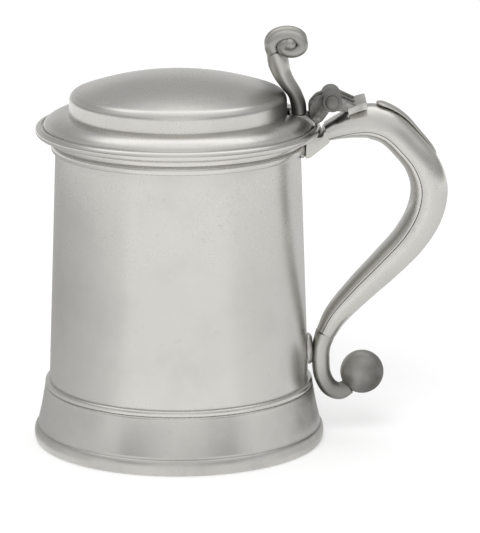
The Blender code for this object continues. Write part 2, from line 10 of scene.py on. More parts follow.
import bpy
import numpy as np
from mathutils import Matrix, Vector


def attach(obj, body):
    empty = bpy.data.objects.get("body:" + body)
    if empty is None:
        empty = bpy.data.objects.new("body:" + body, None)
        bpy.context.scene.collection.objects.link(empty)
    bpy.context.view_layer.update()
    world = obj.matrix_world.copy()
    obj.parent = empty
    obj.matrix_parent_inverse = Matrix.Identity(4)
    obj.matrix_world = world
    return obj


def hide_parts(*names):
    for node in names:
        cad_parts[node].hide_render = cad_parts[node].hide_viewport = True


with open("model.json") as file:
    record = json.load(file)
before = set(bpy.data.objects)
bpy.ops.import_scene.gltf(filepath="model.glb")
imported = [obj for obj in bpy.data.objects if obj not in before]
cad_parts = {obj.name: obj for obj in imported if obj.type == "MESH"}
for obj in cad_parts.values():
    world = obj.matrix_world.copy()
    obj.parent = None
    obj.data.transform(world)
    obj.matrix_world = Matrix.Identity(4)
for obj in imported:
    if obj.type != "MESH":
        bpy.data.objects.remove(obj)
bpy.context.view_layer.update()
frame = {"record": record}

bl_info = {
    "name": "Lidded tankard",
    "version": (1, 0, 0),
    "blender": (4, 5, 0),
    "location": "3D View > Sidebar > Tankard",
    "description": "Builds the smooth surfaces, finishes, table and light of a lidded pewter tankard",
    "category": "Object",
}

SLOT_OF = {part["node"]: part["material_slot"] for part in frame["record"]["subparts"]}
BODY_OF = {name: body for body, names in frame["record"]["behaviour"]["bodies"].items() for name in names}
BRIGHT_SLOT = "bright_metal"
CAST_SLOT = "cast_metal"
MM = 0.001
GAP = 0.3
SHARP_ANGLE = math.radians(50)

# Drum, foot and lip
DRUM_FOOT_R = 55.7
LIP_R = 51.1
LIP_Z = 132.2
WALL = 1.5
BASE_Z = 1.2
BASE_THICK = 2.4
FOOT_R = 61.4
FOOT_TOP = 24.0
FOOT_EDGE = 7.0
FOOT_STEP_R = 59.9
FOOT_STEP = 0.8
FOOT_CHAMFER = 0.8
SKIRT_R = 56.7
SKIRT_PULL = (58.1, 14.6)
WIRE_R = 1.2
WIRE_SEAT = 0.3
BAND_LOW = 124.8
BAND_HIGH = 131.9
BAND_PROUD = 1.5
BAND_SEAT = 0.5
BAND_GAP = 11.2

# Lid
FLANGE_R = 57.5
FLANGE_HOLE_R = 43.8
FLANGE_LOW = 132.6
FLANGE_TOP = 135.0
RIM_R = 59.7
RIM_LOW = 131.8
RIM_HIGH = 135.7
RIM_SEAT = 0.5
BEZEL_R = 48.4
BEZEL_LOW = 128.0
BEZEL_THICK = 1.6
BEZEL_TAPER = 0.4
CROWN_FOOT_R = 45.9
STEP_R = 45.5
STEP_Z = 148.6
DOME_Z = 157.2
SHOULDER_R = 4.0
CROWN_WALL = 1.4
MOULDING_R = 56.5
MOULDING_HIGH = 5.4
MOULDING_WALL = 1.4
MOULDING_GAP = 7.6

# Hinge
PIN_X = 64.0
PIN_Z = 146.4
PIN_R = 1.5
BORE_R = 1.8
BARREL_R = 4.1
ARM_HALF = 3.5
ARM_INSET = 0.3
LUG = 3.9
LUG_PITCH = 4.25
PIN_HEAD_R = 2.9
PIN_HEAD_HIGH = 1.7
PIN_HEAD_SIDE = 0.3
LEAF_THICK = 2.0
LEAF_KNOTS = (5 / 3, 8 / 3)
DROP_KNOTS = (3.0, 6.0)
DROP_HALF_THICK = (1.1, 0.5)
DROP_HALF_WIDTH = (4.6, 1.1)
DROP_ROUND = 0.12
SEAT = 0.45
STRAP = ((46.5, 140.2), (53.6, 140.2), (57.2, 137.7), (57.2, 135.3), (46.5, 135.3))
STRAP_HALF = 7.0
LID_ARM = (
    (54.6, 137.3), (54.5, 144.2), (57.8, 147.9), (61.5, 148.9), (63.2, 149.6), (61.4, 147.6), (61.4, 145.2),
    (63.4, 142.3), (59.7, 137.1), (54.6, 135.7))

# Handle, tail and thumbpiece: x, z, half thickness, half width, squareness of the back
HANDLE = np.array((
    (62.8, 132.4, 3.6, 8.6, 4.0), (68.2, 134.4, 5.0, 9.0, 3.4), (74.4, 136.1, 6.4, 9.3, 2.7),
    (81.2, 136.6, 7.5, 9.4, 2.3), (88.6, 133.7, 7.4, 9.4, 2.3), (95.2, 127.4, 7.2, 9.3, 2.3),
    (101.7, 119.1, 7.4, 9.2, 2.3), (105.2, 108.6, 7.9, 9.0, 2.3), (103.4, 97.2, 7.9, 8.8, 2.3),
    (97.1, 86.0, 7.5, 8.4, 2.3), (87.4, 75.3, 7.0, 7.9, 2.3), (76.8, 64.7, 6.2, 7.3, 2.3),
    (67.0, 53.8, 5.2, 6.6, 2.3), (62.2, 45.4, 4.3, 5.8, 2.3)))
TAIL = np.array((
    (61.85, 44.6, 4.2, 5.6, 2.3), (60.3, 39.2, 3.9, 5.2, 2.2), (60.1, 33.0, 3.8, 4.9, 2.1),
    (60.9, 26.8, 3.7, 4.7, 2.0), (63.8, 21.6, 3.7, 4.5, 2.0), (68.2, 19.8, 3.6, 4.3, 2.0),
    (72.2, 21.9, 3.3, 4.1, 2.0)))
STEM = np.array((
    (50.5, 140.9, 3.2, 6.4), (50.1, 144.2, 3.2, 6.0), (48.5, 148.8, 3.0, 5.6), (45.5, 153.2, 3.4, 5.3),
    (43.1, 157.6, 3.9, 5.4), (41.8, 161.8, 4.4, 5.9), (40.1, 167.4, 3.6, 6.4)))
SKIN = 0.12  # keeps the smooth handle inside the faceted one
SEAM = 0.4  # how far the seam lies below the path, as a share of the half thickness
SEAM_POWER = 0.3  # the lower, the squarer the closed sides of the seam
STRAP_EDGE = 0.2
STEM_ROUND = 0.035
ROOT = (
    (53.1, 131.35), (60.0, 131.35), (60.7, 133.6), (61.8, 134.0), (63.4, 129.3), (56.5, 123.8), (54.7, 122.4),
    (53.1, 122.3))
ROOT_HALF = 8.4
UPPER_PAD = (126.2, 5.0, 10.6)
LOWER_PAD = (38.4, 6.6, 7.0)
PAD_THICK = 1.0
BALL = (77.6, 28.2, 9.2)
SCROLL_CENTRE = (46.3, 169.6)
SCROLL_SQUASH = 0.6
SCROLL_RADIUS = (7.2, 1.9)
SCROLL_TURNS = 1.3
SCROLL_START = 195.0
SCROLL_TUBE = (3.3, 1.9)
SCROLL_SPREAD = (3.6, 8.8)
SCROLL_STEPS = 150
SCROLL_ROUND = 0.03

# How far the smooth pieces reach into the ones that carry them
HANDLE_SINK = 0.12  # in knots of the path, as are the next two
TAIL_SINK = 0.15
STEM_SINK = 0.35
SCROLL_SINK = 0.06  # share of the spiral
BACK_SINK = 0.5  # in millimetres, as are the next two
SOLDER_SINK = 0.3
PAD_SINK = 1.0

# Painted shade and tarnish, as shares of the way from a metal's colour to the dark one; wear, as shares back
HOLLOW_SHADE = (1.2, 0.5)  # painted shade in hollows: growth with the depth of a hollow, and the most
EDGE_WEAR = 4.0  # growth with the height of an edge
HINGE_REACH = 0.6  # angle of the painted shade round the hinge
HIDDEN_SHADE = 0.4  # painted shade on insides and undersides
DRUM_DARK_BELTS = ((0.06, 57.0, 26.0), (0.05, BAND_LOW, 3.0))  # share, height and width of two darker belts: round the middle, and painted shade under the lip band
FOOT_SHADE = (0.1, 0.16)  # painted shade: all of the foot, and its rounded edge besides
FOOT_TAIL_SHADOW = (0.25, 0.35)  # painted shadow of the tail, towards the handle: all of the foot, and its skirt besides
SEAM_DULL = 0.2
BACK_END_DULL = 0.12
STRAP_END_DULL = 0.1
GRIP_WEAR = 0.5
TAIL_DARKENING = (0.04, 0.08, 0.55)  # darkening of all of it and its upper end, and painted shade along its curl
BALL_SHADE = (0.6, 0.38, -0.12, 0.22)  # darker middle, and painted shade added outward, upward (negative: lighter on top) and round the tail
BARREL_BRIGHT = 0.15  # how much less painted shade the barrels have than the arms of the lugs
# Painted shade on the lid: in the flange's joints, on the moulding's outer part and on the crown by the hinge
FLANGE_JOINT_SHADE = 0.06
MOULDING_SHADE = 0.18
CROWN_HINGE_SHADE = 0.7
STEM_SHADE = (0.08, 0.55)  # darkening of all of it, and painted shade on its lower end besides
SCROLL_DULL = (0.27, 0.2, 0.3)  # start of the tube, what is added to its end, and the eye

# Relief of each finish: pitch of the lathe rings and heights of the rings, the dents and the grain
RELIEF = {BRIGHT_SLOT: (1300.0, 0.05, 0.3, 0.015), CAST_SLOT: (700.0, 0.02, 0.9, 0.07)}
RELIEF_DEPTH = 0.0004
SCRATCH_DEPTH = 0.03
SCRATCH_ROUGH = 0.12
DULL_ROUGH = 0.22

# Stage, in metres
TABLE_HALF = 4.0
KEY_FROM = (-0.2, -1.05, 1.0)
CAMERA_MIDDLE = (0.0, 0.0, 0.08)
CAMERA_TARGET = (0.02585, -0.00134, 0.07448)

# Ring of card that the metal mirrors: its grey by the turn from behind the drum over its left and front, the
# radius and height of its profile, the angle left open on each side of the front, and its share close by
RING = (
    (0.0, 0.55), (0.13, 0.53), (0.25, 0.68), (0.36, 0.92), (0.64, 0.95), (0.7, 0.9), (0.77, 0.86),
    (0.87, 0.76), (1.0, 0.57))
RING_PROFILE = ((0.066, 0.001), (0.3, 0.004), (0.31, 0.078))
RING_OPEN = 45.0
RING_NEAR = 0.88
RING_CLEAR = 0.17  # radius from which it has its whole grey

# Sky: its grey behind and in front by the height of a direction, from 0 at the horizon to 1 overhead
SKY_BEHIND = (
    (0.0, 0.68), (0.21, 0.69), (0.36, 0.47), (0.62, 0.42), (0.72, 0.48), (0.8, 1.25),
    (0.86, 1.6), (0.95, 1.3), (1.0, 1.15))
SKY_FRONT = ((0.0, 0.82), (0.16, 0.84), (0.32, 0.9), (0.6, 0.78), (0.85, 0.86), (1.0, 1.15))

# Parts of a direction between which the sky changes: from front to behind, and to and from its dim parts
SKY_TURN = (-0.25, 0.35)
HORIZON = (0.0, 0.1)
SIDE_WIDTH = (0.35, 0.9)
SIDE_HEIGHT = (0.15, 0.32)
FRONT_WIDTH = (0.1, 0.7)
FRONT_HEIGHT = (0.3, 0.6)


class TankardShape(bpy.types.PropertyGroup):
    facets: bpy.props.IntProperty(
        name="Facets", description="Steps round the drum and the lid", default=160, min=48, max=256)
    edge: bpy.props.FloatProperty(
        name="Edge", description="How far turned edges are rounded", default=0.0004, min=0.0001, max=0.001,
        unit="LENGTH")
    cast_edge: bpy.props.FloatProperty(
        name="Cast edge", description="How far the edges of cast blocks are rounded", default=0.0007,
        min=0.0002, max=0.0015, unit="LENGTH")
    seam_width: bpy.props.FloatProperty(
        name="Seam", description="Width of the seam along each side of the handle", default=0.00035,
        min=0.0001, max=0.001, unit="LENGTH")
    scroll_eye: bpy.props.FloatProperty(
        name="Scroll eye", description="Radius of the ball at the end of each scroll", default=0.0024,
        min=0.0019, max=0.003, unit="LENGTH")


class TankardFinish(bpy.types.PropertyGroup):
    bright: bpy.props.FloatVectorProperty(
        name="Bright metal", description="Colour of the polished sheet and turned pieces", subtype="COLOR",
        size=3, min=0.0, max=1.0, default=(0.655, 0.645, 0.612))
    cast: bpy.props.FloatVectorProperty(
        name="Cast metal", description="Colour of the cast pieces", subtype="COLOR", size=3, min=0.0,
        max=1.0, default=(0.575, 0.567, 0.535))
    # This dark colour serves both painted shade and tarnish.
    tarnish: bpy.props.FloatVectorProperty(
        name="Tarnish", description="Colour of the metal where it has gone dark", subtype="COLOR", size=3,
        min=0.0, max=1.0, default=(0.09, 0.087, 0.08))
    bright_rough: bpy.props.FloatProperty(
        name="Bright roughness", description="Roughness of the polished pieces", subtype="FACTOR",
        default=0.27, min=0.0, max=1.0)
    cast_rough: bpy.props.FloatProperty(
        name="Cast roughness", description="Roughness of the cast pieces", subtype="FACTOR", default=0.36,
        min=0.0, max=1.0)


class TankardStage(bpy.types.PropertyGroup):
    floor: bpy.props.FloatVectorProperty(
        name="Table", description="Colour of the table", subtype="COLOR", size=3, min=0.0, max=1.0,
        default=(0.56, 0.56, 0.56))
    glow: bpy.props.FloatProperty(
        name="Table glow", description="Light that the table adds to its own colour", default=0.45, min=0.0,
        max=1.0, subtype="FACTOR")
    side: bpy.props.FloatProperty(
        name="Dark sides", description="How far the light falls off to the left and right", default=0.55,
        min=0.0, max=1.0, subtype="FACTOR")
    front: bpy.props.FloatProperty(
        name="Dark front", description="How far the light falls off beside the camera", default=0.5, min=0.0,
        max=1.0, subtype="FACTOR")
    key: bpy.props.FloatProperty(
        name="Key light", description="Strength of the broad light from the front", default=1.4, min=0.0,
        max=10.0)
    softness: bpy.props.FloatProperty(
        name="Softness", description="Width of that light as seen from the drum", default=math.radians(30),
        min=0.0, max=math.pi, subtype="ANGLE")
    distance: bpy.props.FloatProperty(
        name="Camera distance", description="From the camera to the middle of the picture", default=1.65,
        min=0.5, max=5.0, unit="LENGTH")
    elevation: bpy.props.FloatProperty(
        name="Camera elevation", description="Height of the camera over the horizon",
        default=math.radians(13.6), min=0.0, max=1.5, subtype="ANGLE")
    lens: bpy.props.FloatProperty(
        name="Focal length", description="Of the camera, in millimetres", default=264.7, min=20.0, max=500.0)


# Curves and outlines, in millimetres

def arc(centre, radii, start, end, count):
    """Points on an ellipse: the centre plus the radii times the cosine and sine of an angle in degrees."""
    angle = np.radians(np.linspace(start, end, count))
    return np.stack([centre[0] + radii[0] * np.cos(angle), centre[1] + radii[1] * np.sin(angle)], 1)


def bend(controls, count):
    """Points on a curve pulled by controls: neighbours are blended by the share passed until one is left."""
    t = np.linspace(0, 1, count)[:, None]
    rows = [np.array(control, float) for control in controls]
    while len(rows) > 1:
        rows = [(1 - t) * first + t * second for first, second in zip(rows, rows[1:])]
    return rows[0]


def flow(stations, knots):
    """A cubic curve through the stations, read at knot numbers.

    Each span is the sum of four neighbouring stations weighted by cubics in the share of the span passed;
    the rows beyond both ends are the end rows mirrored.
    """
    rows = np.concatenate([[2 * stations[0] - stations[1]], stations, [2 * stations[-1] - stations[-2]]])
    span = np.clip(np.floor(knots).astype(int), 0, len(stations) - 2)
    t = (knots - span)[:, None]
    return (rows[span] * (-t + 2 * t ** 2 - t ** 3) + rows[span + 1] * (2 - 5 * t ** 2 + 3 * t ** 3)
            + rows[span + 2] * (t + 4 * t ** 2 - 3 * t ** 3) + rows[span + 3] * (t ** 3 - t ** 2)) / 2


def unit(vectors):
    """Rows of vectors, each divided by its length."""
    return vectors / np.linalg.norm(vectors, axis=1, keepdims=True)


def left_of(along):
    """Unit vectors square to rows of directions in a plane, on their left."""
    return unit(np.stack([-along[:, 1], along[:, 0]], 1))


def across(path):
    """Unit vectors square to a path in XZ, on its left, from the differences of its neighbours."""
    return left_of(np.gradient(path, axis=0))


def full_turn(count):
    """Evenly spaced angles over one turn, in radians."""
    return np.linspace(0, 2 * math.pi, count, endpoint=False)


def bell(value, middle, width):
    """A bell curve: e to minus the square of the distance from the middle over the width."""
    return np.exp(-((value - middle) / width) ** 2)


def rise(value, middle, soft):
    """A soft step from 0 to 1, one over one plus e to the distance below the middle over soft.

    Where soft is negative the step goes down.
    """
    return 1 / (1 + np.exp((middle - value) / soft))


def soften(outline, reach, steps=3):
    """Rounds the corners of a closed outline.

    Each corner becomes a parabola that starts and ends up to reach along its two sides, and never more than
    0.45 of a side.
    """
    back = np.roll(outline, 1, 0) - outline
    ahead = np.roll(outline, -1, 0) - outline
    long_back = np.linalg.norm(back, axis=1, keepdims=True)
    long_ahead = np.linalg.norm(ahead, axis=1, keepdims=True)
    cut = np.minimum(reach, 0.45 * np.minimum(long_back, long_ahead))
    first = (outline + back / long_back * cut)[:, None]
    last = (outline + ahead / long_ahead * cut)[:, None]
    t = np.linspace(0, 1, steps)[None, :, None]
    return ((1 - t) ** 2 * first + 2 * t * (1 - t) * outline[:, None] + t ** 2 * last).reshape(-1, 2)


def fill(outline, spacing):
    """Adds points to the sides of a closed outline so that no side is longer than spacing."""
    step = np.roll(outline, -1, 0) - outline
    count = np.maximum(1, np.ceil(np.linalg.norm(step, axis=1) / spacing)).astype(int)
    start = np.repeat(np.arange(len(outline)), count)
    part = (np.arange(count.sum()) - np.repeat(np.cumsum(count) - count, count)) / np.repeat(count, count)
    return outline[start] + step[start] * part[:, None]


def outward(outline):
    """Unit normals of a closed outline: its tangents turned right, or left where it runs clockwise."""
    ahead = np.roll(outline, -1, 0)
    tangent = ahead - np.roll(outline, 1, 0)
    turn = np.sign(np.sum(outline[:, 0] * ahead[:, 1] - ahead[:, 0] * outline[:, 1]))
    return -turn * left_of(tangent)


def marks(outline, reach=2.0):
    """Painted shade in the hollows and wear on the edges of a closed outline, as two columns from 0 to 1.

    Each point is compared with the middle of its neighbours, weighted by a bell curve of their distance
    along the outline; points inside the middle get painted shade and points outside it wear.
    """
    step = np.linalg.norm(np.roll(outline, -1, 0) - outline, axis=1)
    place = np.cumsum(step) - step
    apart = np.abs(place[:, None] - place[None, :])
    apart = np.minimum(apart, step.sum() - apart)
    weight = np.exp(-(apart / reach) ** 2) * (step + np.roll(step, 1))
    middle = weight @ outline / weight.sum(1, keepdims=True)
    proud = ((outline - middle) * outward(outline)).sum(1, keepdims=True) / reach
    return np.clip(-HOLLOW_SHADE[0] * proud, 0, HOLLOW_SHADE[1]), np.clip(EDGE_WEAR * proud, 0, 1)


def drum_radius(z):
    """Outer radius of the drum at a height, on its straight taper."""
    return DRUM_FOOT_R + (LIP_R - DRUM_FOOT_R) * z / LIP_Z


# Shells: closed grids of points with their painted shade, tarnish and wear

def shell(rows, tarnish=0.0, wear=0.0, loop=False, flat=False):
    """A closed surface from a grid of points whose columns close round.

    With loop the rows close too.  Otherwise both end rows are closed: by triangles that meet in the middle of
    the row, by one face if flat, or as a pole where the row is a single point.  Faces point outward: their
    order is turned round where the sum of the corner products, the enclosed volume, is negative.
    """
    rows = np.asarray(rows, float) * MM
    masks = np.stack([np.broadcast_to(np.clip(mask, 0, 1), rows.shape[:2]) for mask in (tarnish, wear)], -1)
    tips = np.empty((0, 3))
    tip_masks = np.empty((0, 2))
    if not loop:
        tips = rows[[0, -1]].mean(1)
        tip_masks = masks[[0, -1]].mean(1)
        point = np.ptp(rows[[0, -1]], axis=1).max(1) < 1e-9
        keep = slice(int(point[0]), len(rows) - int(point[1]))
        rows = rows[keep]
        masks = masks[keep]
    count, around = rows.shape[:2]
    index = np.arange(count * around).reshape(count, around)
    low = index if loop else index[:-1]
    high = np.roll(index, -1, 0) if loop else index[1:]
    quads = np.stack([low, np.roll(low, -1, 1), np.roll(high, -1, 1), high], -1).reshape(-1, 4)
    fans = np.empty((0, 3), int)
    if not loop:
        tip = np.full(around, index.size)
        first = np.stack([tip, np.roll(index[0], -1), index[0]], -1)
        fans = np.concatenate([first, np.stack([tip + 1, index[-1], np.roll(index[-1], -1)], -1)])
    points = np.concatenate([rows.reshape(-1, 3), tips])
    corners = np.concatenate([quads[:, [0, 1, 2]], quads[:, [0, 2, 3]], fans])
    a, b, c = np.moveaxis(points[corners], 1, 0)
    order = 1 if np.sum(a * np.cross(b, c)) > 0 else -1
    faces = [quads[:, ::order], fans[:, ::order]]
    if flat:
        faces = [quads[:, ::order], np.stack([index[0][::-order], index[-1][::order]])]
        points = points[:-2]
        tip_masks = tip_masks[:0]
    return points, faces, np.concatenate([masks.reshape(-1, 2), tip_masks])


def near_hinge(angle):
    """Painted shade round the hinge: e to minus the fourth power of the angle from +X over its reach."""
    return np.exp(-(np.minimum(angle, 2 * math.pi - angle) / HINGE_REACH) ** 4)


def turned(r, z, angle):
    """Points at a radius and a height, turned round Z by an angle."""
    return np.stack([r * np.cos(angle), r * np.sin(angle), z + 0 * angle], -1)


def lathe(outline, facets, tarnish=0.0, hinge=0.0, rub=1.0):
    """A closed outline of radius and height turned once round Z, with painted shade in its hollows and wear
    on its edges.

    The share given as hinge is added as painted shade towards the hinge; rub is the share of the wear kept.
    """
    angle = full_turn(facets)
    dark, wear = marks(outline)
    dark = dark + tarnish + hinge * near_hinge(angle)
    return shell(turned(*outline.T[:, :, None], angle), dark, rub * wear, loop=True)


def lathe_part(outline, facets, half_gap, tarnish=0.0, hinge=0.0):
    """A closed outline of radius and height turned round Z, all but a gap at +X, with both ends closed.

    The gap has flat sides: each point of the outline starts at the angle whose sine is half the gap's width
    over the point's radius.
    """
    r, z = outline.T[:, None, :]
    start = np.arcsin(half_gap / r)
    angle = start + 2 * (math.pi - start) * np.linspace(0, 1, facets)[:, None]
    dark, wear = marks(outline)
    return shell(turned(r, z, angle), dark.T + tarnish + hinge * near_hinge(angle), wear.T, flat=True)


def lathe_solid(profile, facets, tarnish=0.0, hinge=0.0):
    """A profile of radius and height that starts and ends on Z, turned once round it; both ends are poles."""
    angle = full_turn(facets)
    return shell(turned(*profile.T[:, :, None], angle), tarnish + hinge * near_hinge(angle))


def barrel(outline, facets, tarnish=0.0, solid=False):
    """An outline of radius and Y turned once round the hinge pin's axis."""
    angle = full_turn(facets)
    r, y = outline.T[:, :, None]
    rows = np.stack([PIN_X + r * np.cos(angle), y + 0 * angle, PIN_Z + r * np.sin(angle)], -1)
    return shell(rows, tarnish, loop=not solid)


def ball(centre, radius):
    """Rows of points on a sphere from pole to pole: the centre plus the radius times a direction."""
    up = np.linspace(math.pi / 2, -math.pi / 2, 40)[:, None]
    angle = full_turn(64)
    aim = np.stack([np.cos(up) * np.cos(angle), np.cos(up) * np.sin(angle), np.sin(up) + 0 * angle], -1)
    return np.asarray(centre) + radius * aim


def block(outline, low, high, edge, tarnish=0.0):
    """A closed outline in XZ carried along Y, its two rims rounded by quarter circles of radius edge."""
    quarter = np.linspace(0, math.pi / 2, 4)
    inset = edge * (1 - np.sin(quarter))
    inset = np.concatenate([inset, inset[::-1]])
    step = edge * (1 - np.cos(quarter))
    y = np.concatenate([low + step, high - step[::-1]])
    flat = outline[None] - inset[:, None, None] * outward(outline)[None]
    rows = np.stack([flat[..., 0], np.broadcast_to(y[:, None], flat.shape[:2]), flat[..., 1]], -1)
    dark, wear = marks(outline)
    return shell(rows, dark.T + tarnish, wear.T, flat=True)


def carried(path, normal, out, side, tarnish=0.0, wear=0.0):
    """A section carried along a path in XZ: the path plus out times its normal, with side along Y."""
    rows = np.stack([
        path[:, :1] + out * normal[:, :1], np.broadcast_to(side, out.shape),
        path[:, 1:] + out * normal[:, 1:]], -1)
    return shell(rows, tarnish, wear)


def signed_power(value, power):
    """The size of a value raised to a power, with the sign of the value."""
    return np.sign(value) * np.abs(value) ** power


def round_ends(count, share):
    """Scale of a section along a path, falling to nothing at both ends on quarter ellipses."""
    t = np.linspace(0, 1, count)
    near = np.minimum(t, 1 - t) / share
    return np.sqrt(np.clip(1 - (1 - np.minimum(near, 1)) ** 2, 0, 1))[:, None]


def placed(name, data):
    """A new object in the scene, at the origin."""
    made = bpy.data.objects.new(name, data)
    bpy.context.scene.collection.objects.link(made)
    return made


def piece(name, *shells):
    """Puts shells into one mesh, smooth but for its flat ends, in place of the CAD node of the same name."""
    slot = SLOT_OF[name]
    start = np.cumsum([0] + [len(points) for points, _, _ in shells])
    faces = []
    for first, (_, parts, _) in zip(start, shells):
        for part in parts:
            faces += (part + first).tolist()
    mesh = bpy.data.meshes.new(name)
    mesh.from_pydata(np.concatenate([points for points, _, _ in shells]).tolist(), [], faces)
    masks = np.concatenate([mask for _, _, mask in shells])
    # The first mask holds painted shade as well as tarnish; the second holds wear.
    for column, attribute in enumerate(("tarnish", "wear")):
        layer = mesh.attributes.new(attribute, "FLOAT", "POINT")
        layer.data.foreach_set("value", np.ascontiguousarray(masks[:, column], dtype=np.float32))
    mesh.shade_smooth()
    mesh.polygons.foreach_set("use_smooth", np.array([len(face) < 5 for face in faces]))
    mesh.set_sharp_from_angle(angle=SHARP_ANGLE)
    mesh.materials.append(metal(slot))
    if mesh.validate():
        raise RuntimeError(name + ": the surface has faces that do not close")
    obj = placed("smooth_" + name, mesh)
    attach(obj, BODY_OF[name])
    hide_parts(name)


# Shader nodes

def node(tree, kind, settings=None, **inputs):
    """Adds a node; each input is set to its value, or linked where the value is another node's socket."""
    made = tree.nodes.new("ShaderNode" + kind)
    for key, value in (settings or {}).items():
        setattr(made, key, value)
    for key, value in inputs.items():
        wire(tree, value, made.inputs[key.replace("_", " ")])
    return made


def wire(tree, value, socket):
    """Links a socket to another one, or sets it to a plain value."""
    if isinstance(value, bpy.types.NodeSocket):
        tree.links.new(value, socket)
    else:
        socket.default_value = value


def calc(tree, operation, *values, clamp=False):
    """The result of a math node on numbers and sockets."""
    made = node(tree, "Math", {"operation": operation, "use_clamp": clamp})
    for value, socket in zip(values, made.inputs):
        wire(tree, value, socket)
    return made.outputs[0]


def ease(tree, value, low, high, start=0.0, end=1.0):
    """A value taken smoothly from start at low to end at high."""
    made = node(
        tree, "MapRange", {"interpolation_type": "SMOOTHSTEP"},
        Value=value, From_Min=low, From_Max=high, To_Min=start, To_Max=end)
    return made.outputs[0]


def blend(tree, share, first, second):
    """Two colours mixed by a share."""
    made = node(tree, "Mix", {"data_type": "RGBA"})
    wire(tree, share, made.inputs[0])
    wire(tree, first, made.inputs[6])
    wire(tree, second, made.inputs[7])
    return made.outputs[2]


def clouds(tree, place, scale, detail, roughness=0.5):
    """Smooth noise from 0 to 1."""
    made = node(tree, "TexNoise", Vector=place, Scale=scale, Detail=detail, Roughness=roughness)
    return made.outputs[0]


def ramp(tree, value, levels):
    """A grey read from a table of places from 0 to 1 and their levels."""
    made = node(tree, "ValToRGB", Fac=value)
    stops = made.color_ramp.elements
    while len(stops) < len(levels):
        stops.new(0.5)
    for stop, (place, level) in zip(stops, levels):
        stop.position = place
        stop.color = (level, level, level, 1.0)
    return made.outputs[0]


def plan_radius(tree, axes):
    """Distance from Z of a place, from the sockets of its axes."""
    plan = node(tree, "CombineXYZ", X=axes[0], Y=axes[1]).outputs[0]
    return node(tree, "VectorMath", {"operation": "LENGTH"}, Vector=plan).outputs["Value"]


def group(name, inputs, outputs):
    """An empty node group with its sockets, or None if it is already there."""
    if name in bpy.data.node_groups:
        return None
    made = bpy.data.node_groups.new(name, "ShaderNodeTree")
    for label, kind in inputs:
        made.interface.new_socket(label, in_out="INPUT", socket_type="NodeSocket" + kind)
    for label, kind in outputs:
        made.interface.new_socket(label, in_out="OUTPUT", socket_type="NodeSocket" + kind)
    return made


def ends(tree):
    """Input and output nodes of a group."""
    return tree.nodes.new("NodeGroupInput").outputs, tree.nodes.new("NodeGroupOutput").inputs


def use(tree, name, **inputs):
    """The outputs of a node group placed in a tree."""
    made = node(tree, "Group", {"node_tree": bpy.data.node_groups[name]}, **inputs)
    return made.outputs


def make_polish_lines():
    """Fine rings left by polishing on the lathe: noise that changes with radius and height only."""
    tree = group("polish_lines", [("Place", "Vector"), ("Pitch", "Float")], [("Height", "Float")])
    if tree is None:
        return
    given, result = ends(tree)
    axes = node(tree, "SeparateXYZ", Vector=given["Place"]).outputs
    wander = calc(tree, "MULTIPLY", clouds(tree, given["Place"], 30.0, 1.0), 0.0006)
    out = calc(tree, "ADD", plan_radius(tree, axes), wander)
    up = calc(tree, "ADD", axes[2], wander)
    ring = node(tree, "CombineXYZ", X=out, Y=up)
    fine = node(tree, "VectorMath", {"operation": "SCALE"}, Vector=ring.outputs[0])
    wire(tree, given["Pitch"], fine.inputs["Scale"])
    wire(tree, clouds(tree, fine.outputs[0], 1.0, 3.0, 0.6), result["Height"])


def make_hand_marks():
    """Marks of use: thin curved scratches on contour lines of stretched noise, and shallow dents."""
    tree = group("hand_marks", [("Place", "Vector")], [("Scratch", "Float"), ("Dent", "Float")])
    if tree is None:
        return
    given, result = ends(tree)
    layers = []
    for turn, squeeze in ((0.5, (90.0, 330.0, 90.0)), (2.1, (330.0, 90.0, 120.0))):
        swung = node(tree, "VectorRotate", {"rotation_type": "Z_AXIS"}, Vector=given["Place"], Angle=turn)
        long = node(tree, "VectorMath", {"operation": "MULTIPLY"}, Vector=swung.outputs[0])
        long.inputs[1].default_value = squeeze
        level = calc(tree, "ABSOLUTE", calc(tree, "SUBTRACT", clouds(tree, long.outputs[0], 1.0, 1.0), 0.5))
        layers.append(ease(tree, level, 0.0, 0.012, 1.0, 0.0))
    patchy = ease(tree, clouds(tree, given["Place"], 55.0, 2.0), 0.45, 0.7)
    scratch = calc(tree, "MULTIPLY", calc(tree, "MAXIMUM", *layers), patchy)
    wire(tree, scratch, result["Scratch"])
    wire(tree, clouds(tree, given["Place"], 48.0, 1.5), result["Dent"])


def make_patina():
    """Metal colour with painted shade and tarnish: their mask and cloudy noise darken it, and wear brings it
    back.
    """
    tree = group(
        "patina",
        [("Place", "Vector"), ("Metal", "Color"), ("Dark", "Color"), ("Tarnish", "Float"), ("Wear", "Float")],
        [("Colour", "Color"), ("Dull", "Float")])
    if tree is None:
        return
    given, result = ends(tree)
    cloud = clouds(tree, given["Place"], 38.0, 4.0, 0.6)
    speck = clouds(tree, given["Place"], 420.0, 3.0, 0.65)
    film = ease(tree, cloud, 0.42, 0.78, 0.0, 0.07)
    pits = ease(tree, speck, 0.62, 0.74, 0.0, 0.08)
    uneven = ease(tree, cloud, 0.25, 0.75, 0.65, 1.15)
    dark = calc(tree, "MULTIPLY", given["Tarnish"], uneven)
    dark = calc(tree, "ADD", dark, calc(tree, "ADD", film, pits))
    rubbed = calc(tree, "MULTIPLY", given["Wear"], ease(tree, speck, 0.35, 0.6, 0.35, 0.8))
    dark = calc(tree, "SUBTRACT", dark, rubbed, clamp=True)
    wire(tree, blend(tree, dark, given["Metal"], given["Dark"]), result["Colour"])
    wire(tree, calc(tree, "SUBTRACT", dark, calc(tree, "MULTIPLY", rubbed, 0.25)), result["Dull"])


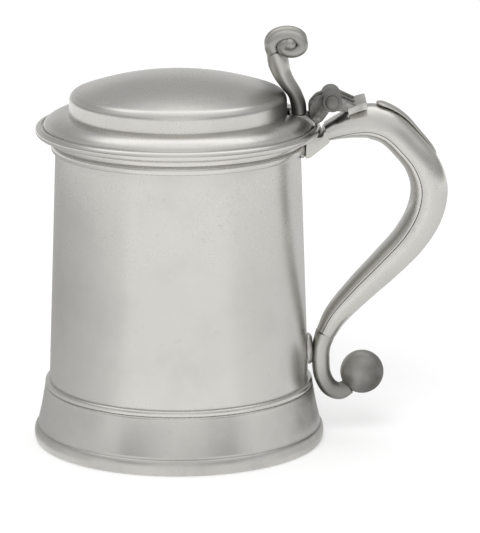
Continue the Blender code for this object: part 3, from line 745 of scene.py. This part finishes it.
def metal(slot):
    """The pewter of one slot: polished sheet with lathe rings, or cast metal with a finer grain."""
    name = slot + "_finish"
    if name in bpy.data.materials:
        return bpy.data.materials[name]
    make_polish_lines()
    make_hand_marks()
    make_patina()
    finish = bpy.context.scene.tankard_finish
    cast = slot == CAST_SLOT
    pitch, ring_high, dent_high, grain_high = RELIEF[slot]
    material = bpy.data.materials.new(name)
    material.use_nodes = True
    tree = material.node_tree
    shader = tree.nodes["Principled BSDF"]
    shader.inputs["Metallic"].default_value = 1.0
    place = node(tree, "TexCoord").outputs["Object"]
    tarnish = node(tree, "Attribute", {"attribute_name": "tarnish"}).outputs["Fac"]
    wear = node(tree, "Attribute", {"attribute_name": "wear"}).outputs["Fac"]
    patina = use(
        tree, "patina", Place=place, Metal=(*(finish.cast if cast else finish.bright), 1.0),
        Dark=(*finish.tarnish, 1.0), Tarnish=tarnish, Wear=wear)
    use_marks = use(tree, "hand_marks", Place=place)
    rings = use(tree, "polish_lines", Place=place, Pitch=pitch)["Height"]
    wire(tree, patina["Colour"], shader.inputs["Base Color"])
    rough = finish.cast_rough if cast else finish.bright_rough
    rough = calc(tree, "MULTIPLY_ADD", patina["Dull"], DULL_ROUGH, rough)
    rough = calc(tree, "MULTIPLY_ADD", use_marks["Scratch"], SCRATCH_ROUGH, rough, clamp=True)
    wire(tree, rough, shader.inputs["Roughness"])
    height = calc(tree, "MULTIPLY", rings, ring_high)
    height = calc(tree, "MULTIPLY_ADD", use_marks["Dent"], dent_high, height)
    height = calc(tree, "MULTIPLY_ADD", clouds(tree, place, 900.0, 2.0), grain_high, height)
    height = calc(tree, "MULTIPLY_ADD", use_marks["Scratch"], -SCRATCH_DEPTH, height)
    bump = node(tree, "Bump", Height=height, Strength=1.0, Distance=RELIEF_DEPTH)
    wire(tree, bump.outputs[0], shader.inputs["Normal"])
    return material


# Operators

class Undoable:
    """What all the operators share."""
    bl_options = {"REGISTER", "UNDO"}


class MakeDrum(Undoable, bpy.types.Operator):
    """Make the tapered drum and its base plate"""
    bl_idname = "tankard.make_drum"
    bl_label = "Drum and base"

    def execute(self, context):
        shape = context.scene.tankard_shape
        edge = shape.edge / MM
        corners = np.array([
            (LIP_R, LIP_Z), (drum_radius(BASE_Z), BASE_Z), (drum_radius(BASE_Z) - WALL, BASE_Z),
            (LIP_R - WALL, LIP_Z)])
        outline = fill(soften(corners, 1.5 * edge, 5), 2.5)
        inside = outline[:, 0] < drum_radius(outline[:, 1]) - WALL / 2
        z = outline[:, 1]
        # A darker belt round the middle, painted shade under the lip band, and painted shade on the inside.
        dark_belts = sum(share * bell(z, height, width) for share, height, width in DRUM_DARK_BELTS)
        tarnish = np.where(inside, HIDDEN_SHADE, dark_belts)[:, None]
        piece("drum", lathe(outline, shape.facets, tarnish))
        top = BASE_Z + BASE_THICK
        high_r = drum_radius(top) - WALL - GAP
        low_r = drum_radius(BASE_Z) - WALL - GAP
        over = np.linspace((0, top), (high_r, top), 12)
        under = np.linspace((low_r, BASE_Z), (0, BASE_Z), 12)
        profile = np.concatenate([over, under])
        piece("base_plate", lathe_solid(profile, shape.facets, HIDDEN_SHADE))
        return {"FINISHED"}


class MakeFoot(Undoable, bpy.types.Operator):
    """Make the hollow-sided foot with its rounded edge, and the wire on top of it"""
    bl_idname = "tankard.make_foot"
    bl_label = "Foot"

    def execute(self, context):
        shape = context.scene.tankard_shape
        edge = shape.edge / MM
        hollow = bend([(SKIRT_R, FOOT_TOP), SKIRT_PULL, (FOOT_STEP_R, FOOT_EDGE + FOOT_STEP)], 14)
        bead = arc((FOOT_STEP_R, FOOT_EDGE / 2), (FOOT_R - FOOT_STEP_R, FOOT_EDGE / 2), 90, -60, 14)
        seat = drum_radius(FOOT_TOP) + GAP
        inner = [(FOOT_STEP_R - FOOT_CHAMFER, 0), (DRUM_FOOT_R + GAP, 0), (seat, FOOT_TOP)]
        outline = fill(soften(np.concatenate([hollow, bead, inner]), edge), 2.5)
        z = outline[:, 1:]
        # Painted shade on the foot and its edge, and painted shadow of the tail on the handle's side.
        painted_shade = FOOT_SHADE[0] + FOOT_SHADE[1] * rise(z, FOOT_EDGE, -0.6)
        hinge = FOOT_TAIL_SHADOW[0] + FOOT_TAIL_SHADOW[1] * rise(z, FOOT_EDGE + 3, 0.8)
        piece("foot_ring", lathe(outline, shape.facets, painted_shade, hinge, rub=0.15))
        low = FOOT_TOP - SOLDER_SINK
        high = FOOT_TOP + GAP + 2 * WIRE_R
        middle = (low + high) / 2
        centre = (drum_radius(middle) + GAP + WIRE_SEAT, middle)
        back = [(drum_radius(z) - SOLDER_SINK, z) for z in (low, high)]
        wire_outline = np.concatenate([arc(centre, (WIRE_R, high - middle), 90, -90, 13), back])
        piece("foot_wire", lathe(soften(wire_outline, edge), shape.facets))
        return {"FINISHED"}


class MakeLipBand(Undoable, bpy.types.Operator):
    """Make the two reeds round the mouth, stopped beside the handle"""
    bl_idname = "tankard.make_lip_band"
    bl_label = "Lip band"

    def execute(self, context):
        shape = context.scene.tankard_shape
        seat = drum_radius(BAND_LOW) + GAP
        reed = (BAND_HIGH - BAND_LOW) / 4
        radii = (BAND_PROUD - BAND_SEAT, reed)
        upper = arc((seat + BAND_SEAT, BAND_HIGH - reed), radii, 90, -80, 11)
        lower = arc((seat + BAND_SEAT, BAND_LOW + reed), radii, 80, -90, 11)
        back = [(drum_radius(z) - SOLDER_SINK, z) for z in (BAND_LOW, BAND_HIGH)]
        outline = soften(np.concatenate([upper, lower, back]), shape.edge / MM)
        piece("lip_band", lathe_part(outline, shape.facets, BAND_GAP))
        return {"FINISHED"}


class MakeHandle(Undoable, bpy.types.Operator):
    """Make the handle: its two pads, root, rounded back and the strap that closes it"""
    bl_idname = "tankard.make_handle"
    bl_label = "Handle"

    def execute(self, context):
        shape = context.scene.tankard_shape
        for name, place in (("handle_upper_pad", UPPER_PAD), ("handle_lower_pad", LOWER_PAD)):
            piece(name, self.pad(*place))
        edge = shape.cast_edge / MM
        root = soften(np.array(ROOT), 2 * edge, 5)
        piece("handle_root", block(root, -ROOT_HALF, ROOT_HALF, edge / 2))
        knots = np.linspace(-HANDLE_SINK, len(HANDLE) - 1, 14 * len(HANDLE))
        path = flow(HANDLE, knots)
        normal = across(path[:, :2])
        thick, wide, square = path.T[2:, :, None]
        thick = thick - SKIN
        seam = -SEAM * thick
        turn = full_turn(64) - math.pi
        back = np.abs(turn) <= math.pi / 2
        cos = np.abs(np.cos(turn))
        sin = np.sin(turn)
        gap = shape.seam_width / MM
        out = np.where(back, seam + (thick - seam) * cos ** (2 / square), seam - gap * cos ** SEAM_POWER)
        side = np.where(back, wide * signed_power(sin, 2 / square), wide * sin)
        near_seam = bell(np.abs(turn), math.pi / 2, 0.1)
        near_ends = (np.exp(-knots / 0.8) + 0.7 * np.exp(-(knots[-1] - knots) / 0.6))[:, None]
        tarnish = SEAM_DULL * near_seam + BACK_END_DULL * near_ends
        grip = GRIP_WEAR * bell(knots, 5.5, 2.5)[:, None] * cos * back
        piece("handle_back", carried(path[:, :2], normal, out, side, tarnish, grip))
        rim = seam - gap
        out = np.where(back, rim - STRAP_EDGE * (1 - cos ** SEAM_POWER), rim - (thick + rim) * cos)
        side = (wide - gap) * sin
        piece("handle_strap", carried(path[:, :2], normal, out, side, STRAP_END_DULL * near_ends))
        return {"FINISHED"}

    @staticmethod
    def pad(middle, half_height, half_width):
        """An oval plate bent round the drum: rings of an ellipse from its middle to its rim and back behind.

        The front runs into the handle's end and falls to the rim on an eighth power.
        """
        share = np.concatenate([np.linspace(0, 1, 12) ** 0.7, np.linspace(1, 0, 6)])[:, None]
        front = np.concatenate([np.ones(12), np.zeros(6)])[:, None]
        angle = full_turn(56)
        y = half_width * share * np.sin(angle)
        z = middle + half_height * share * np.cos(angle)
        stand = GAP + (PAD_THICK + PAD_SINK) * front * (1 - 0.7 * share ** 8)
        x = np.sqrt((drum_radius(z) + stand) ** 2 - y ** 2)
        return shell(np.stack([x, y, z], -1), tarnish=0.05)


class MakeTail(Undoable, bpy.types.Operator):
    """Make the curled tail of the handle and the ball at its end"""
    bl_idname = "tankard.make_tail"
    bl_label = "Tail and ball"

    def execute(self, context):
        knots = np.linspace(-TAIL_SINK, len(TAIL) - 1, 12 * len(TAIL))
        path = flow(TAIL, knots)
        thick, wide, square = path.T[2:, :, None]
        seam = -SEAM * thick
        turn = full_turn(48) - math.pi
        back = np.abs(turn) <= math.pi / 2
        cos = np.abs(np.cos(turn))
        out = np.where(back, seam + (thick - seam) * cos ** (2 / square), seam - (thick + seam) * cos)
        side = wide * np.where(back, signed_power(np.sin(turn), 2 / square), np.sin(turn))
        whole, upper, curl = TAIL_DARKENING
        # Darker all over and at the upper end, with painted shade along the curl.
        dark = whole + upper * np.exp(-knots / 0.3) + curl * rise(knots, 3.1, 0.35)
        piece("handle_tail", carried(path[:, :2], across(path[:, :2]), out, side, dark[:, None]))
        x, z, radius = BALL
        rows = ball((x, 0.0, z), radius)
        right = (rows[..., 0] - x) / radius
        up = (rows[..., 2] - z) / radius
        toward = TAIL[-1, :2] - (x, z)
        near = (right * toward[0] + up * toward[1]) / np.linalg.norm(toward)
        # Darker middle, with painted shade on the outer side, underneath and where the tail meets it.
        middle, right_shade, up_shade, tip_shade = BALL_SHADE
        dark = middle + right_shade * right + up_shade * up + tip_shade * np.clip((near - 0.55) / 0.4, 0, 1)
        piece("tail_ball", shell(rows, dark))
        return {"FINISHED"}


class MakeHinge(Undoable, bpy.types.Operator):
    """Make the handle's side of the hinge: leaf with three lugs, drop, pin and the pin's heads"""
    bl_idname = "tankard.make_hinge"
    bl_label = "Hinge"

    def execute(self, context):
        edge = context.scene.tankard_shape.cast_edge / MM
        under = self.back_line(np.linspace(*LEAF_KNOTS, 8), -BACK_SINK)
        over = self.back_line(np.linspace(*LEAF_KNOTS, 8), SEAT + LEAF_THICK)
        reach = 2 * LUG_PITCH + LUG / 2
        plate = soften(np.concatenate([under, over[::-1]]), edge)
        middle = (under + over) / 2
        arm = soften(np.array([
            (PIN_X, PIN_Z + ARM_HALF), middle[5], middle[0], (PIN_X, PIN_Z - ARM_HALF)]), 2 * edge, 5)
        # Plate, lugs, pin and heads carry painted shade, heaviest on the lugs' arms.
        plate = block(plate, -reach, reach, edge / 2, tarnish=0.3)
        piece("hinge_handle_leaf", plate, *lugs((-2, 0, 2), arm, edge, tarnish=1.0))
        share = np.linspace(0, 1, 60)
        half_thick, half_wide = (
            np.interp(share, (0, 1), limits)[:, None] * round_ends(60, DROP_ROUND)
            for limits in (DROP_HALF_THICK, DROP_HALF_WIDTH))
        lift = np.interp(share, (0, 1), DROP_HALF_THICK) - BACK_SINK
        path = self.back_line(np.linspace(*DROP_KNOTS, 60), lift[:, None])
        turn = full_turn(28)
        drop = carried(path, across(path), half_thick * np.cos(turn), half_wide * np.sin(turn))
        piece("hinge_drop", drop)
        pin = np.array([(0, -reach), (PIN_R, -reach), (PIN_R, reach), (0, reach)])
        piece("hinge_pin", barrel(pin, 32, tarnish=0.7, solid=True))
        for side, name in ((-1, "pin_head_left"), (1, "pin_head_right")):
            inner = side * (reach + GAP)
            cap = arc((0, PIN_HEAD_SIDE), (PIN_HEAD_R, PIN_HEAD_HIGH - PIN_HEAD_SIDE), 0, 90, 12)
            cap[-1, 0] = 0
            head = np.concatenate([[(0, inner), (PIN_HEAD_R, inner)], cap * (1, side) + (0, inner)])
            piece(name, barrel(head, 40, tarnish=0.8, solid=True))
        return {"FINISHED"}

    @staticmethod
    def back_line(knots, lift):
        """Points over the handle's back: its path plus the half thickness and the lift along its normal."""
        path = flow(HANDLE, knots)
        step = 1e-3
        along = flow(HANDLE, knots + step) - flow(HANDLE, knots - step)
        return path[:, :2] + (path[:, 2:3] + lift) * left_of(along)


def lugs(places, arm, edge, tarnish):
    """Hinge lugs: for each place along the pin a rounded ring and the arm that carries it."""
    shells = []
    for place in places:
        low = place * LUG_PITCH - LUG / 2
        high = low + LUG
        ring = np.array([(BARREL_R, low), (BARREL_R, high), (BORE_R, high), (BORE_R, low)])
        # The barrel carries less painted shade than its arm.
        shells.append(barrel(soften(ring, 0.7 * edge, 5), 64, tarnish - BARREL_BRIGHT))
        shells.append(block(arm, low + ARM_INSET, high - ARM_INSET, edge / 2, tarnish))
    return shells


class MakeLid(Undoable, bpy.types.Operator):
    """Make the lid: flange, rim wire, rounded moulding, bezel and the domed crown"""
    bl_idname = "tankard.make_lid"
    bl_label = "Lid"

    def execute(self, context):
        shape = context.scene.tankard_shape
        edge = shape.edge / MM
        facets = shape.facets
        # Painted shade in the flange's joints, on the moulding's outer part, and towards the hinge on each
        # piece.
        flange = np.array([
            (FLANGE_HOLE_R, FLANGE_TOP), (FLANGE_R, FLANGE_TOP), (FLANGE_R, FLANGE_LOW),
            (FLANGE_HOLE_R, FLANGE_LOW)])
        outline = fill(soften(flange, edge), 1.2)
        r = outline[:, :1]
        painted_shade = FLANGE_JOINT_SHADE * (bell(r, MOULDING_R, 1.0) + bell(r, FLANGE_R, 0.8))
        piece("lid_flange", lathe(outline, facets, painted_shade, hinge=0.45))
        seat = FLANGE_R - SOLDER_SINK
        radii = (RIM_R - seat - RIM_SEAT, (RIM_HIGH - RIM_LOW) / 2)
        bead = arc((seat + RIM_SEAT, (RIM_LOW + RIM_HIGH) / 2), radii, 90, -90, 17)
        rim = soften(np.concatenate([bead, [(seat, RIM_LOW), (seat, RIM_HIGH)]]), edge)
        piece("lid_rim_wire", lathe(rim, facets, tarnish=0.03, hinge=0.35))
        centre = (CROWN_FOOT_R - 3 * SOLDER_SINK, FLANGE_TOP - SOLDER_SINK)
        radii = np.array((MOULDING_R - centre[0], MOULDING_HIGH + GAP + SOLDER_SINK))
        over = arc(centre, radii, 90, 0, 24)
        under = arc(centre, radii - MOULDING_WALL, 0, 90, 24)
        moulding = soften(np.concatenate([over, under]), edge)
        painted_shade = MOULDING_SHADE * rise(moulding[:, 0], MOULDING_R - 3, 0.8)
        piece("lid_moulding", lathe_part(moulding, facets, MOULDING_GAP, painted_shade, hinge=0.4))
        top = FLANGE_LOW - GAP
        bezel = np.array([
            (BEZEL_R, top), (BEZEL_R - BEZEL_TAPER, BEZEL_LOW), (BEZEL_R - BEZEL_THICK, BEZEL_LOW),
            (BEZEL_R - BEZEL_THICK, top)])
        # The bezel, hidden under the lid, carries painted shade.
        piece("lid_bezel", lathe(fill(soften(bezel, edge), 1.5), facets, tarnish=0.35))
        piece("lid_crown", self.crown(facets))
        return {"FINISHED"}

    @staticmethod
    def crown(facets):
        """The crown's profile turned round Z.

        A spherical dome runs into a quarter-round shoulder that touches both the dome and the upright step
        below it; the underside follows one wall thickness inside.
        """
        low = FLANGE_TOP + GAP
        dome_high = DOME_Z - STEP_Z
        dome_r = (STEP_R ** 2 + dome_high ** 2) / (2 * dome_high)
        dome_z = DOME_Z - dome_r
        turn_r = STEP_R - SHOULDER_R
        turn_z = dome_z + math.sqrt((dome_r - SHOULDER_R) ** 2 - turn_r ** 2)
        tip = math.degrees(math.atan2(turn_z - dome_z, turn_r))
        dome = arc((0, dome_z), (dome_r, dome_r), 90, tip, 30)
        shoulder = arc((turn_r, turn_z), (SHOULDER_R, SHOULDER_R), tip, 0, 12)[1:]
        step = np.linspace(shoulder[-1], (CROWN_FOOT_R, low), 8)[1:]
        outer = np.concatenate([dome, shoulder, step])
        outer[0, 0] = 0
        under = arc((0, dome_z), (dome_r - CROWN_WALL, dome_r - CROWN_WALL), tip, 90, 16)
        under[-1, 0] = 0
        inner = [(CROWN_FOOT_R - CROWN_WALL, low), (STEP_R - CROWN_WALL, turn_z)]
        profile = np.concatenate([outer, inner, under])
        # Painted shade on the underside, and on the crown's rim towards the hinge.
        dark = np.repeat((0.0, HIDDEN_SHADE), (len(outer), len(inner) + len(under)))
        hinge = CROWN_HINGE_SHADE * rise(profile[:, :1], STEP_R - 9, 1.5)
        return lathe_solid(profile, facets, dark[:, None], hinge)


class MakeLidLeaf(Undoable, bpy.types.Operator):
    """Make the lid's side of the hinge: strap and two lugs"""
    bl_idname = "tankard.make_lid_leaf"
    bl_label = "Lid leaf"

    def execute(self, context):
        edge = context.scene.tankard_shape.cast_edge / MM
        arm = soften(np.array(LID_ARM), 2 * edge, 5)
        # The lid's strap and lugs carry painted shade.
        strap = block(soften(np.array(STRAP), edge, 5), -STRAP_HALF, STRAP_HALF, edge, tarnish=0.65)
        piece("hinge_lid_leaf", strap, *lugs((-1, 1), arm, edge, tarnish=0.95))
        return {"FINISHED"}


class MakeThumbpiece(Undoable, bpy.types.Operator):
    """Make the thumbpiece: its leaning stem and the pair of scrolls"""
    bl_idname = "tankard.make_thumbpiece"
    bl_label = "Thumbpiece"

    def execute(self, context):
        shape = context.scene.tankard_shape
        knots = np.linspace(-STEM_SINK, len(STEM) - 1, 14 * len(STEM))
        path = flow(STEM, knots)
        turn = full_turn(40)
        scale = round_ends(len(knots), STEM_ROUND)
        out = path[:, 2:3] * scale * np.cos(turn)
        side = path[:, 3:4] * scale * np.sin(turn)
        # Darker all over, with painted shade at the lower end.
        dark = STEM_SHADE[0] + STEM_SHADE[1] * rise(knots, 2.5, -0.4)
        piece("thumb_stem", carried(path[:, :2], across(path[:, :2]), out, side, dark[:, None]))
        for hand, name in ((-1, "thumb_scroll_left"), (1, "thumb_scroll_right")):
            piece(name, *self.scroll(hand, shape.scroll_eye / MM))
        return {"FINISHED"}

    @staticmethod
    def scroll(hand, eye):
        """A round tube on a spiral: the radius shrinks evenly while the angle runs back and Y moves outward.

        The tube thins along its way and closes on quarter ellipses; a ball makes the eye at its end.
        """
        t = np.linspace(-SCROLL_SINK, 1, SCROLL_STEPS)[:, None]
        angle = math.radians(SCROLL_START) - 2 * math.pi * SCROLL_TURNS * t
        radius = SCROLL_RADIUS[0] + (SCROLL_RADIUS[1] - SCROLL_RADIUS[0]) * t
        y = hand * (SCROLL_SPREAD[0] + (SCROLL_SPREAD[1] - SCROLL_SPREAD[0]) * t)
        x = SCROLL_CENTRE[0] + radius * np.cos(angle)
        z = SCROLL_CENTRE[1] + SCROLL_SQUASH * radius * np.sin(angle)
        middle = np.concatenate([x, y, z], 1)
        along = unit(np.gradient(middle, axis=0))
        wide = unit((0.0, 1.0, 0.0) - along[:, 1:2] * along)
        high = np.cross(along, wide)
        tube = SCROLL_TUBE[0] + (SCROLL_TUBE[1] - SCROLL_TUBE[0]) * t
        tube = (tube * round_ends(SCROLL_STEPS, SCROLL_ROUND))[:, None]
        turn = full_turn(32)[None, :, None]
        rows = middle[:, None] + tube * (np.cos(turn) * high[:, None] + np.sin(turn) * wide[:, None])
        start_dull, end_dull, eye_dull = SCROLL_DULL
        return shell(rows, start_dull + end_dull * t ** 2), shell(ball(middle[-1], eye), eye_dull)


def bare_tree(mesh):
    """Gives a mesh a material of its own name, and returns its empty node tree."""
    material = bpy.data.materials.new(mesh.name)
    material.use_nodes = True
    material.node_tree.nodes.clear()
    mesh.materials.append(material)
    return material.node_tree


class MakeStage(Undoable, bpy.types.Operator):
    """Make the white table, the studio light and the camera"""
    bl_idname = "tankard.make_stage"
    bl_label = "Table, light and camera"

    def execute(self, context):
        scene = context.scene
        stage = scene.tankard_stage
        scene.view_settings.view_transform = "Standard"
        self.table(stage)
        scene.world = self.sky(stage)
        self.ring()
        self.lamp(stage)
        scene.camera = self.camera(stage)
        return {"FINISHED"}

    @staticmethod
    def table(stage):
        """A flat square of four corners, lit by the lamps and by a glow of its own."""
        mesh = bpy.data.meshes.new("table")
        corners = TABLE_HALF * np.array(((-1, -1, 0), (1, -1, 0), (1, 1, 0), (-1, 1, 0)))
        mesh.from_pydata(corners.tolist(), [], [(0, 1, 2, 3)])
        tree = bare_tree(mesh)
        paper = node(tree, "BsdfDiffuse", Color=(*stage.floor, 1.0)).outputs[0]
        rays = node(tree, "LightPath").outputs
        seen = calc(tree, "ADD", rays["Is Camera Ray"], rays["Is Glossy Ray"])
        seen = calc(tree, "ADD", seen, rays["Is Transmission Ray"], clamp=True)
        light = node(tree, "Emission", Strength=calc(tree, "MULTIPLY", seen, stage.glow)).outputs[0]
        both = node(tree, "AddShader")
        wire(tree, paper, both.inputs[0])
        wire(tree, light, both.inputs[1])
        result = node(tree, "OutputMaterial")
        wire(tree, both.outputs[0], result.inputs["Surface"])
        placed("table", mesh)

    @staticmethod
    def sky(stage):
        """Light from all round: pale at the horizon, greyer half way up behind, and bright overhead.

        It is dim low down at the sides and beside the camera.  The camera itself sees plain white.
        """
        world = bpy.data.worlds.new("studio")
        world.use_nodes = True
        tree = world.node_tree
        axes = node(tree, "SeparateXYZ", Vector=node(tree, "TexCoord").outputs["Generated"]).outputs
        behind = ease(tree, axes[1], *SKY_TURN)
        ahead = calc(tree, "SUBTRACT", 1.0, behind)
        sky = blend(tree, behind, ramp(tree, axes[2], SKY_FRONT), ramp(tree, axes[2], SKY_BEHIND))
        wide = calc(tree, "ABSOLUTE", axes[0])
        dims = []
        for half, share, width, height in (
                (behind, stage.side, SIDE_WIDTH, SIDE_HEIGHT),
                (ahead, stage.front, FRONT_WIDTH, FRONT_HEIGHT)):
            dim = calc(tree, "MULTIPLY", ease(tree, wide, *width, 0.0, share), half)
            dims.append(calc(tree, "MULTIPLY", dim, ease(tree, axes[2], *height, 1.0, 0.0)))
        dim = calc(tree, "MULTIPLY", calc(tree, "ADD", *dims), ease(tree, axes[2], *HORIZON))
        background = tree.nodes["Background"]
        wire(tree, sky, background.inputs["Color"])
        wire(tree, calc(tree, "SUBTRACT", 1.0, dim), background.inputs["Strength"])
        white = node(tree, "Background", Color=(1.0, 1.0, 1.0, 1.0))
        seen = node(tree, "MixShader", Fac=node(tree, "LightPath").outputs["Is Camera Ray"])
        wire(tree, background.outputs[0], seen.inputs[1])
        wire(tree, white.outputs[0], seen.inputs[2])
        wire(tree, seen.outputs[0], tree.nodes["World Output"].inputs["Surface"])
        return world

    @staticmethod
    def ring():
        """A ring of grey card that only the metal mirrors: flat round the foot, then upright, open in front.

        A profile of radius and height turned round Z.  Its grey changes with the direction from the drum and
        is darker close to the foot.
        """
        turn = np.radians(np.linspace(RING_OPEN, 360 - RING_OPEN, 109))
        r, z = np.array(RING_PROFILE).T[:, :, None]
        rows = np.stack([r * np.sin(turn), -r * np.cos(turn), z + 0 * turn], -1)
        index = np.arange(rows.size // 3).reshape(rows.shape[:2])
        faces = np.stack([index[:-1, :-1], index[:-1, 1:], index[1:, 1:], index[1:, :-1]], -1).reshape(-1, 4)
        mesh = bpy.data.meshes.new("grey_ring")
        mesh.from_pydata(rows.reshape(-1, 3).tolist(), [], faces.tolist())
        tree = bare_tree(mesh)
        axes = node(tree, "SeparateXYZ", Vector=node(tree, "TexCoord").outputs["Object"]).outputs
        direction = calc(tree, "ARCTAN2", axes[0], calc(tree, "MULTIPLY", axes[1], -1.0))
        share = calc(tree, "MULTIPLY_ADD", direction, 0.5 / math.pi, 0.5)
        near = ease(tree, plan_radius(tree, axes), RING_PROFILE[0][0], RING_CLEAR, RING_NEAR, 1.0)
        light = node(tree, "Emission", Color=ramp(tree, share, RING), Strength=near)
        wire(tree, light.outputs[0], node(tree, "OutputMaterial").inputs["Surface"])
        card = placed("grey_ring", mesh)
        card.visible_camera = False
        card.visible_diffuse = False
        card.visible_shadow = False

    @staticmethod
    def lamp(stage):
        """Broad even light from the front, which casts the shadow; the metal mirrors the sky instead."""
        data = bpy.data.lights.new("key_lamp", "SUN")
        data.angle = stage.softness
        data.energy = stage.key
        lamp = placed("key_lamp", data)
        lamp.location = KEY_FROM
        lamp.rotation_euler = (-lamp.location).to_track_quat("-Z", "Y").to_euler()
        lamp.visible_glossy = False

    @staticmethod
    def camera(stage):
        """A long lens, set back from the middle of the part by its distance and elevation."""
        data = bpy.data.cameras.new("camera")
        data.lens = stage.lens
        camera = placed("camera", data)
        back = Vector((0.0, -math.cos(stage.elevation), math.sin(stage.elevation)))
        camera.location = Vector(CAMERA_MIDDLE) + back * stage.distance
        camera.rotation_euler = (Vector(CAMERA_TARGET) - camera.location).to_track_quat("-Z", "Y").to_euler()
        return camera


class TankardPanel(bpy.types.Panel):
    """Sizes, finishes and stage of the tankard, and the operators that build it"""
    bl_idname = "VIEW3D_PT_tankard"
    bl_label = "Tankard"
    bl_space_type = "VIEW_3D"
    bl_region_type = "UI"
    bl_category = "Tankard"

    def draw(self, context):
        for name, kind in SETTINGS.items():
            box = self.layout.box()
            for key in kind.__annotations__:
                box.prop(getattr(context.scene, name), key)
        for operator in PIECES:
            self.layout.operator(operator.bl_idname)


PIECES = (
    MakeDrum, MakeFoot, MakeLipBand, MakeHandle, MakeTail, MakeHinge, MakeLid, MakeLidLeaf, MakeThumbpiece,
    MakeStage)
SETTINGS = {"tankard_shape": TankardShape, "tankard_finish": TankardFinish, "tankard_stage": TankardStage}
CLASSES = (*SETTINGS.values(), *PIECES, TankardPanel)


def register():
    for item in CLASSES:
        bpy.utils.register_class(item)
    for name, kind in SETTINGS.items():
        setattr(bpy.types.Scene, name, bpy.props.PointerProperty(type=kind))


def unregister():
    for name in SETTINGS:
        delattr(bpy.types.Scene, name)
    for item in reversed(CLASSES):
        bpy.utils.unregister_class(item)


def main():
    register()
    bpy.ops.tankard.make_drum()
    bpy.ops.tankard.make_foot()
    bpy.ops.tankard.make_lip_band()
    bpy.ops.tankard.make_handle()
    bpy.ops.tankard.make_tail()
    bpy.ops.tankard.make_hinge()
    bpy.ops.tankard.make_lid()
    bpy.ops.tankard.make_lid_leaf()
    bpy.ops.tankard.make_thumbpiece()
    bpy.ops.tankard.make_stage()


if __name__ == "__main__":
    main()
